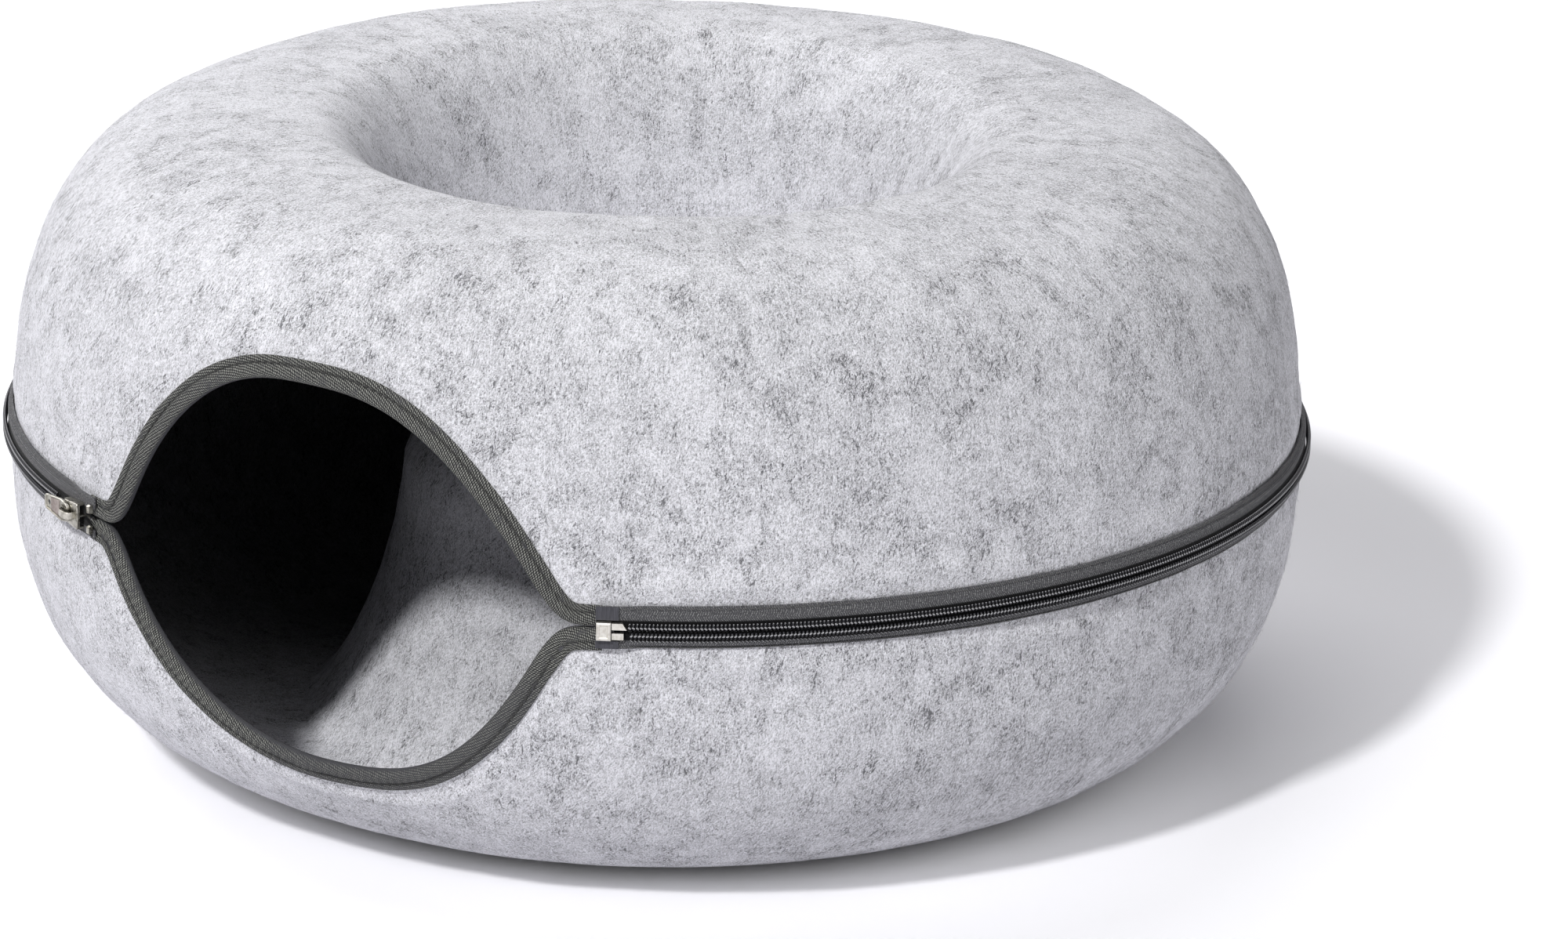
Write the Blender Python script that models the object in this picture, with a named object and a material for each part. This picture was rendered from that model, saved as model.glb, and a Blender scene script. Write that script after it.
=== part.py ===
"""Donut-shaped felt tunnel in two moulded halves joined by a zip, with a bound mouth.

Metres, +Z up, the base stands on Z = 0 and the mouth faces -Y. Angles run from -Y towards +X
about the ring's centre, which lies a small setback in front of the origin.
Offsets are measured outwards from the felt's outer face.
"""
import math

import bpy
import bmesh
import numpy as np
from mathutils import Vector
from mathutils.geometry import tessellate_polygon

UPPER = 1
LOWER = -1

# Fit gaps.
GAP = 0.0003
HALF_GAP = GAP / 2
SLIDE_GAP = 0.00035

# Felt body. Heights are from the floor; the powers shape the superellipse quarters.
WALL_RADIUS = 0.25
CREST_RADIUS = 0.1393
WELL_RADIUS = 0.096
TOP_HEIGHT = 0.244
SEAM_HEIGHT = 0.1235
WIDEST_HEIGHT = 0.1073
FELT_THICKNESS = 0.003
RISE_POWER = 2.99
DROP_POWER = 2.24
UPPER_WELL_POWER = 2.15
LOWER_WELL_POWER = 1.5
WELL_POWER = {UPPER: UPPER_WELL_POWER, LOWER: LOWER_WELL_POWER}
SOLE_PRESS = 0.0006
WELL_FILLET = 0.015
SETBACK = 0.0056

# Hook and loop discs between the two well floors.
DISC_THICKNESS = 0.0015
DISC_RADIUS = 0.05
FLOOR_LIFT = HALF_GAP + DISC_THICKNESS + GAP + FELT_THICKNESS

# Mouth: heights from the seam, angles in degrees; each edge is two superellipse quarters.
UPPER_MOUTH_RISE = 0.0754
LOWER_MOUTH_RISE = 0.0715
MOUTH_RISE = {UPPER: UPPER_MOUTH_RISE, LOWER: LOWER_MOUTH_RISE}
MOUTH_PEAK = {UPPER: 0.0, LOWER: 2.4}
MOUTH_LEFT = {UPPER: -20.8, LOWER: -21.8}
MOUTH_RIGHT = {UPPER: 24.3, LOWER: 24.0}
MOUTH_LEFT_POWER = {UPPER: 2.95, LOWER: 2.2}
MOUTH_RIGHT_POWER = {UPPER: 2.5, LOWER: 2.9}
MOUTH_HALF_ANGLE = 24.5
MOUTH_SOFTEN = 1.3
ANGLE_STEP = 0.05
LEFT_SLIT = 0.0022
RIGHT_SLIT = 0.0153

# Binding tape folded over the mouth's edge.
BINDING_THICKNESS = 0.0007
BINDING_WIDTH = 0.0075
SLIT_EDGE = HALF_GAP + BINDING_THICKNESS + GAP

# Zip chain: heights are measured from the seam plane.
SLIDER_PLATE = 0.001
WEB_HALF = 0.0003
TAPE_THICKNESS = 0.0007
COIL_HEIGHT = 0.00245
COIL_DEPTH = 0.0016
COIL_ROUND = 0.0004
UPPER_TAPE_FLAT = 0.0057
UPPER_TAPE_SEWN = 0.0071
UPPER_TAPE_EDGE = 0.0089
LOWER_TAPE_FLAT = 0.0053
LOWER_TAPE_SEWN = 0.0061
LOWER_TAPE_EDGE = 0.007
TAPE_FLAT = {UPPER: UPPER_TAPE_FLAT, LOWER: LOWER_TAPE_FLAT}
TAPE_SEWN = {UPPER: UPPER_TAPE_SEWN, LOWER: LOWER_TAPE_SEWN}
TAPE_EDGE = {UPPER: UPPER_TAPE_EDGE, LOWER: LOWER_TAPE_EDGE}
TAPE_LAP = 0.0096
SPREAD_LENGTH = 0.0068
UPPER_SPREAD = 0.0045
LOWER_SPREAD = 0.0036
SPREAD_RISE = {UPPER: UPPER_SPREAD, LOWER: LOWER_SPREAD}
SPREAD_EASE = 1.15
TAPE_BACK = GAP + SLIDER_PLATE + SLIDE_GAP
TAPE_FACE = TAPE_BACK + TAPE_THICKNESS
CHAIN_INNER = WEB_HALF + SLIDE_GAP
CHAIN_OUTER = CHAIN_INNER + COIL_HEIGHT
COIL_BACK = TAPE_FACE + GAP
CHAIN_FACE = COIL_BACK + COIL_DEPTH

# Sewing threads.
THREAD_SIZE = 0.0007
UPPER_THREAD_HEIGHT = 0.008
LOWER_THREAD_HEIGHT = 0.00655
TAPE_THREAD_HEIGHT = {UPPER: UPPER_THREAD_HEIGHT, LOWER: LOWER_THREAD_HEIGHT}
BINDING_THREAD_DEPTH = 0.0045
BINDING_THREAD_SHARE = 0.92

# End hardware; lengths run along the ring.
LEFT_TUCK = 0.0052
RIGHT_TUCK = 0.0022
STOP_INSET = 0.0007
STOP_LENGTH = 0.002
STOP_OVERHANG = 0.0003
STOP_RISE = 0.0007
BOX_INSET = 0.0004
BOX_LENGTH = 0.0052
BOX_DEPTH = 0.0036
BOX_RECESS = 0.0003
BOX_RIM = 0.001
BOX_CHAMFER = 0.0004
BOX_HALF_HEIGHT = CHAIN_OUTER + GAP
BOX_FACE = TAPE_BACK + BOX_DEPTH
UPPER_PIN_LENGTH = 0.0053
LOWER_PIN_LENGTH = 0.0042
PIN_POINT = 0.0015
FILM_LENGTH = 0.0083
FILM_THICKNESS = 0.0004
UPPER_FILM_HEIGHT = 0.005
LOWER_FILM_HEIGHT = 0.003
FILM_HEIGHT = {UPPER: UPPER_FILM_HEIGHT, LOWER: LOWER_FILM_HEIGHT}

# Slider: u runs along the ring, v is the height from the seam, w the offset.
SLIDER_LENGTH = 0.0108
FLANGE = 0.0008
SLIDER_FLARE = 1.18
BRIDGE_CLEAR = 0.0026
BRIDGE_THICKNESS = 0.0009
BRIDGE_HALF_SPAN = 0.0026
BRIDGE_HALF_WIDTH = 0.0011
BRIDGE_ROUND = 0.0012
BRIDGE_SINK = 0.0005
SLIDER_HALF_HEIGHT = CHAIN_OUTER + SLIDE_GAP + FLANGE
PLATE_BACK = CHAIN_FACE + SLIDE_GAP
PLATE_FACE = PLATE_BACK + SLIDER_PLATE

# Pull tab.
TAB_THICKNESS = 0.0012
TAB_LENGTH = 0.018
TAB_NEAR_HALF = 0.0044
TAB_END_SHARE = 0.72
TAB_FAR_HALF = 0.0028
TAB_BAR = 0.0014
TAB_CORNER = 0.0012
SLOT_CLEAR = 0.0004
SLOT_REACH = 0.0011
TAB_HOLE_RADIUS = 0.001
TAB_HOLE_INSET = 0.0028
TAB_AXIS = PLATE_FACE + BRIDGE_CLEAR / 2
SLOT_LENGTH = BRIDGE_HALF_SPAN + BRIDGE_THICKNESS + SLOT_REACH

# Mesh fineness; the row shares divide the wall from the cut edge to the crest.
DENSE = 900
WALL_ROW_SHARES = (0, 0.033, 0.077, 0.14, 0.23, 0.34, 0.45, 0.56, 0.68, 0.82, 1)
WELL_ROWS = 6
FILLET_ROWS = 2
MOUTH_SEGMENTS = 34
SHELL_STEP = 8.0
RING_STEP = 3.75
SLIT_FADE = 1.6
SLIDER_SLICES = 6
DISC_SIDES = 40

# name: colour, roughness, metallic
MATERIALS = {
    "felt": ((0.62, 0.62, 0.65), 0.95, 0.0),
    "binding_twill": ((0.075, 0.077, 0.082), 0.85, 0.0),
    "zip_tape": ((0.06, 0.062, 0.068), 0.85, 0.0),
    "zip_coil": ((0.015, 0.015, 0.017), 0.4, 0.0),
    "thread": ((0.3, 0.3, 0.31), 0.8, 0.0),
    "nickel": ((0.62, 0.6, 0.55), 0.28, 1.0),
    "box_metal": ((0.74, 0.73, 0.69), 0.35, 1.0),
    "film": ((0.08, 0.085, 0.1), 0.35, 0.0),
    "hook_and_loop": ((0.03, 0.03, 0.032), 0.9, 0.0),
}


def clear_scene():
    for item in list(bpy.data.objects):
        bpy.data.objects.remove(item, do_unlink=True)


def make_material(name):
    colour, roughness, metallic = MATERIALS[name]
    material = bpy.data.materials.new(name)
    material.use_nodes = True
    shader = material.node_tree.nodes["Principled BSDF"]
    shader.inputs["Base Color"].default_value = (*colour, 1.0)
    shader.inputs["Roughness"].default_value = roughness
    shader.inputs["Metallic"].default_value = metallic
    material.diffuse_color = (*colour, 1.0)
    return material


def ring_centre():
    """Centre of the ring in the seam plane, on the axis that the slider turns about."""
    return np.array([0.0, -SETBACK, SEAM_HEIGHT])


def make_object(name, vertices, faces, material, smooth_angle=None, origin=None):
    """One closed body with its faces turned outwards; its origin is the ring's centre if not given."""
    origin = ring_centre() if origin is None else origin
    mesh = bpy.data.meshes.new(name)
    mesh.from_pydata([tuple(map(float, vertex - origin)) for vertex in vertices], [], faces)
    work = bmesh.new()
    work.from_mesh(mesh)
    bmesh.ops.recalc_face_normals(work, faces=work.faces)
    work.to_mesh(mesh)
    work.free()
    mesh.materials.append(make_material(material))
    if smooth_angle:
        mesh.shade_smooth()
        mesh.set_sharp_from_angle(angle=math.radians(smooth_angle))
    built = bpy.data.objects.new(name, mesh)
    built.location = origin
    bpy.context.scene.collection.objects.link(built)
    return built


def on_ring(angle, radius, height):
    turn = math.radians(angle)
    return np.array([radius * math.sin(turn), -radius * math.cos(turn) - SETBACK, height])


def arc_angle(length, radius=WALL_RADIUS):
    return math.degrees(length / radius)


def unwound(angle):
    """The same angle counted on round the back, for the ring's left end."""
    return angle + 360


def smoothstep(value):
    value = min(max(value, 0.0), 1.0)
    return value * value * (3 - 2 * value)


# Places along the ring, from the mouth's corners outwards, in degrees.
SLIT_END = {"left": -MOUTH_HALF_ANGLE - arc_angle(LEFT_SLIT),
            "right": MOUTH_HALF_ANGLE + arc_angle(RIGHT_SLIT)}
TAPE_END = {"left": SLIT_END["left"] + arc_angle(LEFT_TUCK),
            "right": SLIT_END["right"] - arc_angle(RIGHT_TUCK)}
STOP_END = TAPE_END["left"] - arc_angle(STOP_INSET)
STOP_START = STOP_END - arc_angle(STOP_LENGTH)
SPREAD_START = TAPE_END["left"] - arc_angle(SPREAD_LENGTH)
SLIDER_CENTRE = SPREAD_START - arc_angle(GAP + SLIDER_LENGTH / 2)
BOX_START = TAPE_END["right"] + arc_angle(BOX_INSET)
BOX_END = BOX_START + arc_angle(BOX_LENGTH)
PIN_START = BOX_END + arc_angle(GAP)
PIN_END = {UPPER: PIN_START + arc_angle(UPPER_PIN_LENGTH),
           LOWER: PIN_START + arc_angle(LOWER_PIN_LENGTH)}
FILM_END = TAPE_END["right"] + arc_angle(FILM_LENGTH)
COIL_END = {"left": STOP_START - arc_angle(GAP), "right": PIN_END[UPPER] + arc_angle(GAP)}
LAP_START = {"left": SLIT_END["left"] - arc_angle(SLIDER_LENGTH / 2), "right": FILM_END}
LAP_END = {"left": LAP_START["left"] - arc_angle(TAPE_LAP),
           "right": LAP_START["right"] + arc_angle(TAPE_LAP)}


class Profile:
    """Outer face of one felt half, from the seam over the crest and down the well to the axis."""

    def __init__(self, side):
        self.side = side
        quarter = np.linspace(0, np.pi / 2, DENSE)
        cosine, sine = np.cos(quarter), np.sin(quarter)
        wall = WALL_RADIUS - CREST_RADIUS
        rise = TOP_HEIGHT - WIDEST_HEIGHT
        up_radius = CREST_RADIUS + wall * cosine ** (2 / RISE_POWER)
        up_height = WIDEST_HEIGHT + rise * sine ** (2 / RISE_POWER)
        edge = SEAM_HEIGHT + side * HALF_GAP
        edge_radius = np.interp(edge, up_height, up_radius)
        if side == UPPER:
            kept = up_height > edge
            radius, height = up_radius[kept], up_height[kept]
            far = TOP_HEIGHT
        else:
            kept = up_height < edge
            down_radius = CREST_RADIUS + wall * cosine ** (2 / DROP_POWER)
            drop = WIDEST_HEIGHT + SOLE_PRESS
            down_height = WIDEST_HEIGHT - drop * sine ** (2 / DROP_POWER)
            radius = np.concatenate([up_radius[kept][::-1], down_radius[1:]])
            height = np.concatenate([up_height[kept][::-1], down_height[1:]])
            far = -SOLE_PRESS
        crest_index = len(radius)
        floor = SEAM_HEIGHT + side * FLOOR_LIFT
        foot = floor + side * WELL_FILLET
        well = CREST_RADIUS - WELL_RADIUS
        in_radius = WELL_RADIUS + well * (1 - cosine[::-1] ** (2 / WELL_POWER[side]))
        in_height = foot + (far - foot) * sine[::-1] ** (2 / WELL_POWER[side])
        bend_radius = WELL_RADIUS - WELL_FILLET * (1 - cosine)
        bend_height = foot - side * WELL_FILLET * sine
        flat_radius = np.linspace(WELL_RADIUS - WELL_FILLET, 0, DENSE)
        flat_height = np.full(DENSE, floor)
        radius = np.concatenate([[edge_radius], radius, in_radius[1:], bend_radius[1:], flat_radius[1:]])
        height = np.concatenate([[edge], height, in_height[1:], bend_height[1:], flat_height[1:]])
        self.radius, self.height = radius, np.maximum(height, 0.0)
        steps = np.hypot(np.diff(self.radius), np.diff(self.height))
        self.along = np.concatenate([[0.0], np.cumsum(steps)])
        near_far = np.nonzero(np.abs(height - far) <= SOLE_PRESS)[0]
        self.flat_start = self.along[near_far[0]]
        self.crest = self.along[crest_index]
        self.flat_end = self.along[near_far[-1]]
        self.foot = self.along[crest_index + DENSE - 1]
        self.bend_end = self.along[crest_index + 2 * (DENSE - 1)]
        slope_r = np.gradient(self.radius, self.along, edge_order=1)
        slope_h = np.gradient(self.height, self.along, edge_order=1)
        size = np.hypot(slope_r, slope_h)
        self.normal_r = side * slope_h / size
        self.normal_h = -side * slope_r / size

    def distance_at(self, lift):
        """Distance along the wall at a height above or below the seam plane."""
        wall = self.along <= self.crest
        return float(np.interp(lift, self.side * (self.height[wall] - SEAM_HEIGHT), self.along[wall]))

    def radius_at(self, along):
        return float(np.interp(along, self.along, self.radius))

    def point(self, angle, along, offset):
        """A point on the wall, moved off its outer face along the face's normal."""
        normal_r = np.interp(along, self.along, self.normal_r)
        normal_h = np.interp(along, self.along, self.normal_h)
        size = math.hypot(normal_r, normal_h)
        radius = np.interp(along, self.along, self.radius) + offset * normal_r / size
        height = np.interp(along, self.along, self.height) + offset * normal_h / size
        return on_ring(angle, max(radius, 0.0), height)


PROFILE = {UPPER: Profile(UPPER), LOWER: Profile(LOWER)}


def mouth_curve(side):
    """Height of the cut edge from the seam plane, against the angle."""
    angles = np.arange(-2 * MOUTH_HALF_ANGLE, 2 * MOUTH_HALF_ANGLE, ANGLE_STEP)
    peak = MOUTH_PEAK[side]
    left = np.clip((peak - angles) / (peak - MOUTH_LEFT[side]), 0, 1) ** MOUTH_LEFT_POWER[side]
    right = np.clip((angles - peak) / (MOUTH_RIGHT[side] - peak), 0, 1) ** MOUTH_RIGHT_POWER[side]
    lift = SLIT_EDGE + (MOUTH_RISE[side] - SLIT_EDGE) * (1 - left - right)
    reach = int(MOUTH_SOFTEN / ANGLE_STEP)
    for _ in range(2):
        padded = np.pad(lift, reach, mode="edge")
        lift = np.convolve(padded, np.full(2 * reach + 1, 1 / (2 * reach + 1)), mode="valid")
    return angles, lift


MOUTH = {UPPER: mouth_curve(UPPER), LOWER: mouth_curve(LOWER)}


def mouth_lift(side, angle):
    return float(np.interp(angle, *MOUTH[side]))


def mouth_angles(side, segments):
    """Angles evenly spaced along the cut edge, from the end of one slit to the other."""
    angles, lifts = MOUTH[side]
    kept = (angles > SLIT_END["left"]) & (angles < SLIT_END["right"])
    fine = np.concatenate([[SLIT_END["left"]], angles[kept], [SLIT_END["right"]]])
    heights = np.interp(fine, angles, lifts)
    run = np.hypot(np.diff(np.radians(fine)) * WALL_RADIUS, np.diff(heights))
    travelled = np.concatenate([[0.0], np.cumsum(run)])
    return np.interp(np.linspace(0, travelled[-1], segments + 1), travelled, fine)


def shell_columns(side):
    """Angle and edge height of each column of the felt mesh."""
    columns = [(angle, mouth_lift(side, angle)) for angle in mouth_angles(side, MOUTH_SEGMENTS)]
    sweep_start = columns[-1][0] + SLIT_FADE
    sweep_end = unwound(columns[0][0]) - SLIT_FADE
    count = int(round((sweep_end - sweep_start) / SHELL_STEP))
    columns += [(angle, HALF_GAP) for angle in np.linspace(sweep_start, sweep_end, count + 1)]
    return columns


def build_shell(side, name):
    profile = PROFILE[side]
    outer, inner = [], []
    for angle, lift in shell_columns(side):
        start = profile.distance_at(lift)
        rows = [start + (profile.flat_start - start) * share for share in WALL_ROW_SHARES]
        rows.append(profile.crest)
        rows += list(np.linspace(profile.flat_end, profile.foot, WELL_ROWS + 1))
        rows += list(np.linspace(profile.foot, profile.bend_end, FILLET_ROWS + 1)[1:])
        outer.append([profile.point(angle, along, 0.0) for along in rows])
        inner.append([profile.point(angle, along, -FELT_THICKNESS) for along in rows])
    columns, rows = len(outer), len(outer[0])
    vertices = [point for column in outer + inner for point in column]
    shift = columns * rows
    floor = SEAM_HEIGHT + side * FLOOR_LIFT
    vertices += [on_ring(0, 0, floor), on_ring(0, 0, floor - side * FELT_THICKNESS)]
    faces = []
    for i in range(columns):
        here, there = i * rows, (i + 1) % columns * rows
        for j in range(rows - 1):
            faces.append((here + j, there + j, there + j + 1, here + j + 1))
            faces.append((shift + here + j, shift + here + j + 1, shift + there + j + 1, shift + there + j))
        faces.append((here, shift + here, shift + there, there))
        faces.append((here + rows - 1, there + rows - 1, 2 * shift))
        faces.append((shift + there + rows - 1, shift + here + rows - 1, 2 * shift + 1))
    return make_object(name, vertices, faces, "felt", 40)


def loft(name, sections, material, smooth_angle=None):
    """A closed body through rings of points, with flat ends."""
    count = len(sections[0])
    vertices = [point for section in sections for point in section]
    faces = []
    for i in range(len(sections) - 1):
        for j in range(count):
            k = (j + 1) % count
            low, high = i * count, (i + 1) * count
            faces.append((low + j, low + k, high + k, high + j))
    for start, section in ((0, sections[0]), (len(vertices) - count, sections[-1])):
        ring = [Vector(point) for point in section]
        faces += [tuple(start + index for index in face) for face in tessellate_polygon([ring])]
    return make_object(name, vertices, faces, material, smooth_angle)


def seam_point(side, angle, lift, offset):
    """A point off the wall's outer face beside the seam, at a height from the seam plane."""
    radius = PROFILE[side].radius_at(0.0) + offset
    return on_ring(angle, radius, SEAM_HEIGHT + side * lift)


def ring_angles(start, end, extra=()):
    """Angles from a start, on round the back, to an end; both are kept, with extra stations."""
    count = int(math.ceil((end - start) / RING_STEP))
    angles = list(np.linspace(start, end, count + 1)) + [angle for angle in extra if start < angle < end]
    return sorted(angles)


def lap_share(angle):
    """1 where the tape runs over the binding, 0 where it lies on the felt."""
    right = 1 - smoothstep((angle - LAP_START["right"]) / (LAP_END["right"] - LAP_START["right"]))
    left = smoothstep((angle - unwound(LAP_END["left"])) / (LAP_START["left"] - LAP_END["left"]))
    return max(right, left)


def spread(side, angle):
    """How far the two sides of the chain part on their way to the mouth's left corner."""
    start, end = unwound(SPREAD_START), unwound(TAPE_END["left"])
    return SPREAD_RISE[side] * smoothstep((angle - start) / (end - start) / SPREAD_EASE)


def tape_inner(side, angle):
    if angle < PIN_START:
        return BOX_HALF_HEIGHT + GAP
    return CHAIN_INNER + spread(side, angle)


def tape_sewn_back(angle):
    return GAP + (TAPE_BACK - GAP) * lap_share(angle)


def build_tape(side, name):
    left = list(np.linspace(SPREAD_START, TAPE_END["left"], 4)[:-1])
    left += list(np.linspace(LAP_END["left"], LAP_START["left"], 3))
    right = [PIN_START - arc_angle(HALF_GAP / 2), PIN_START]
    right += list(np.linspace(LAP_START["right"], LAP_END["right"], 3))
    extra = right + [unwound(angle) for angle in left]
    stations = ring_angles(TAPE_END["right"], unwound(TAPE_END["left"]), extra)
    sections = []
    for angle in stations:
        sewn = tape_sewn_back(angle)
        inner = tape_inner(side, angle)
        flat = max(TAPE_FLAT[side], inner + TAPE_THICKNESS)
        back = [(inner, TAPE_BACK), (flat, TAPE_BACK), (TAPE_SEWN[side], sewn), (TAPE_EDGE[side], sewn)]
        face = [(lift, offset + TAPE_THICKNESS) for lift, offset in reversed(back)]
        sections.append([seam_point(side, angle, lift, offset) for lift, offset in back + face])
    return loft(name, sections, "zip_tape", 30)


def build_coil(side, name):
    """Plain bar of the coil's outline; the loops themselves belong to the visible model."""
    left = [unwound(angle) for angle in np.linspace(SPREAD_START, COIL_END["left"], 4)[:-1]]
    stations = ring_angles(COIL_END["right"], unwound(COIL_END["left"]), left)
    sections = []
    for angle in stations:
        shift = spread(side, angle)
        inner, outer = CHAIN_INNER + shift, CHAIN_OUTER + shift
        ring = [(inner, COIL_BACK), (outer, COIL_BACK), (outer - COIL_ROUND, CHAIN_FACE),
                (inner, CHAIN_FACE)]
        sections.append([seam_point(side, angle, lift, offset) for lift, offset in ring])
    return loft(name, sections, "zip_coil", 30)


def build_tape_thread(side, name):
    extra = [LAP_END["right"], unwound(LAP_END["left"]), unwound(LAP_START["left"])]
    stations = ring_angles(FILM_END + arc_angle(THREAD_SIZE),
                           unwound(TAPE_END["left"]) - arc_angle(THREAD_SIZE), extra)
    half = THREAD_SIZE / 2
    sections = []
    for angle in stations:
        low = tape_sewn_back(angle) + TAPE_THICKNESS + GAP
        ring = [(-half, low), (half, low), (0, low + THREAD_SIZE)]
        height = TAPE_THREAD_HEIGHT[side]
        sections.append([seam_point(side, angle, height + lift, offset) for lift, offset in ring])
    return loft(name, sections, "thread", 30)


class MouthPath:
    """The felt's cut edge round one side of the mouth, with the direction away from the mouth."""

    def __init__(self, side):
        self.side = side
        self.profile = PROFILE[side]
        self.angles = mouth_angles(side, MOUTH_SEGMENTS)
        self.along = [self.profile.distance_at(mouth_lift(side, angle)) for angle in self.angles]
        fine = mouth_angles(side, MOUTH_SEGMENTS * 8)
        run = [self.profile.distance_at(mouth_lift(side, angle)) for angle in fine]
        radii = np.array([self.profile.radius_at(value) for value in run])
        travel_x = np.gradient(np.radians(fine)) * radii
        travel_y = np.gradient(np.array(run))
        size = np.hypot(travel_x, travel_y)
        self.away_x = np.interp(self.angles, fine, -travel_y / size)
        self.away_y = np.interp(self.angles, fine, travel_x / size)

    def point(self, index, depth, offset):
        """A point a distance into the felt from the edge, moved off the outer face."""
        along = self.along[index] + self.away_y[index] * depth
        radius = self.profile.radius_at(self.along[index])
        angle = self.angles[index] + arc_angle(self.away_x[index] * depth, radius)
        return self.profile.point(angle, along, offset)


MOUTH_PATH = {UPPER: MouthPath(UPPER), LOWER: MouthPath(LOWER)}


def build_binding(side, name):
    """Folded tape with one leg on each face of the felt."""
    path = MOUTH_PATH[side]
    out_low, out_high = GAP, GAP + BINDING_THICKNESS
    in_high = -FELT_THICKNESS - GAP
    in_low = in_high - BINDING_THICKNESS
    fold_in, fold_out = -GAP, -GAP - BINDING_THICKNESS
    middle = BINDING_WIDTH / 2
    ring = [(BINDING_WIDTH, out_low), (middle, out_low), (fold_in, out_low), (fold_in, in_high),
            (middle, in_high), (BINDING_WIDTH, in_high), (BINDING_WIDTH, in_low), (middle, in_low),
            (fold_out, in_low), (fold_out, out_high), (middle, out_high), (BINDING_WIDTH, out_high)]
    sections = [[path.point(index, depth, offset) for depth, offset in ring]
                for index in range(MOUTH_SEGMENTS + 1)]
    return loft(name, sections, "binding_twill", 40)


def build_binding_thread(side, name):
    path = MOUTH_PATH[side]
    half = THREAD_SIZE / 2
    low = GAP + BINDING_THICKNESS + GAP
    high = low + THREAD_SIZE
    ring = [(-half, low), (half, low), (0, high)]
    reach = MOUTH_HALF_ANGLE * BINDING_THREAD_SHARE
    kept = [index for index in range(MOUTH_SEGMENTS + 1) if abs(path.angles[index]) < reach]
    sections = [[path.point(index, BINDING_THREAD_DEPTH + depth, offset) for depth, offset in ring]
                for index in kept]
    return loft(name, sections, "thread", 30)


def arc_block(name, side, span, lifts, offsets, material, point=0.0, slices=2):
    """A block between two angles that follows the ring; its far end can slant to a point."""
    sections = []
    for share in np.linspace(0, 1, slices + 1):
        ring = []
        for lift, offset in ((lifts[0], offsets[0]), (lifts[1], offsets[0]),
                             (lifts[1], offsets[1]), (lifts[0], offsets[1])):
            slant = arc_angle(point) if lift == lifts[1] else 0
            angle = span[0] + (span[1] - slant - span[0]) * share
            ring.append(seam_point(side, angle, lift, offset))
        sections.append(ring)
    return loft(name, sections, material)


def build_box(name):
    """Square retainer with chamfered edges and a shallow recess in its face."""
    middle = (BOX_START + BOX_END) / 2
    levels = [(0.0, TAPE_BACK), (0.0, BOX_FACE - BOX_CHAMFER), (BOX_CHAMFER, BOX_FACE),
              (BOX_RIM, BOX_FACE), (BOX_RIM + BOX_RECESS, BOX_FACE - BOX_RECESS)]
    sections = []
    for inset, offset in levels:
        reach_u, reach_v = BOX_LENGTH / 2 - inset, BOX_HALF_HEIGHT - inset
        corners = [(-reach_u, -reach_v), (reach_u, -reach_v), (reach_u, reach_v), (-reach_u, reach_v)]
        sections.append([seam_point(UPPER, middle + arc_angle(u), v, offset) for u, v in corners])
    return loft(name, sections, "box_metal")


def build_stop(side, name):
    shift = spread(side, unwound(STOP_START))
    lifts = (CHAIN_INNER + shift - STOP_OVERHANG, CHAIN_OUTER + shift + STOP_OVERHANG)
    face = COIL_BACK + COIL_DEPTH + STOP_RISE / 2
    middle = (COIL_BACK + face) / 2
    bulge = STOP_OVERHANG
    sections = []
    for share in np.linspace(0, 1, 5):
        swell = bulge * math.sin(math.pi * share)
        ring = [(lifts[0], COIL_BACK), (lifts[1], COIL_BACK), (lifts[1] + swell, middle),
                (lifts[1] - bulge, face + swell - bulge), (lifts[0] + bulge, face + swell - bulge),
                (lifts[0] - swell, middle)]
        angle = STOP_START + (STOP_END - STOP_START) * share
        sections.append([seam_point(side, angle, lift, offset) for lift, offset in ring])
    return loft(name, sections, "nickel", 30)


def slider_point(u, v, w):
    """A point of the slider; u follows the ring, positive towards the mouth."""
    return seam_point(UPPER, SLIDER_CENTRE + arc_angle(u), v, w)


def slider_section(flare):
    """Outer plate with its two flanges, the web in the seam and the inner plate."""
    wide = SLIDER_HALF_HEIGHT * flare
    neck = wide - FLANGE
    flange_back = TAPE_FACE + SLIDE_GAP
    half = [(wide, GAP), (wide, GAP + SLIDER_PLATE), (WEB_HALF, GAP + SLIDER_PLATE), (WEB_HALF, PLATE_BACK),
            (neck, PLATE_BACK), (neck, flange_back), (wide, flange_back), (wide, PLATE_FACE)]
    return half + [(-v, w) for v, w in reversed(half)]


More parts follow.
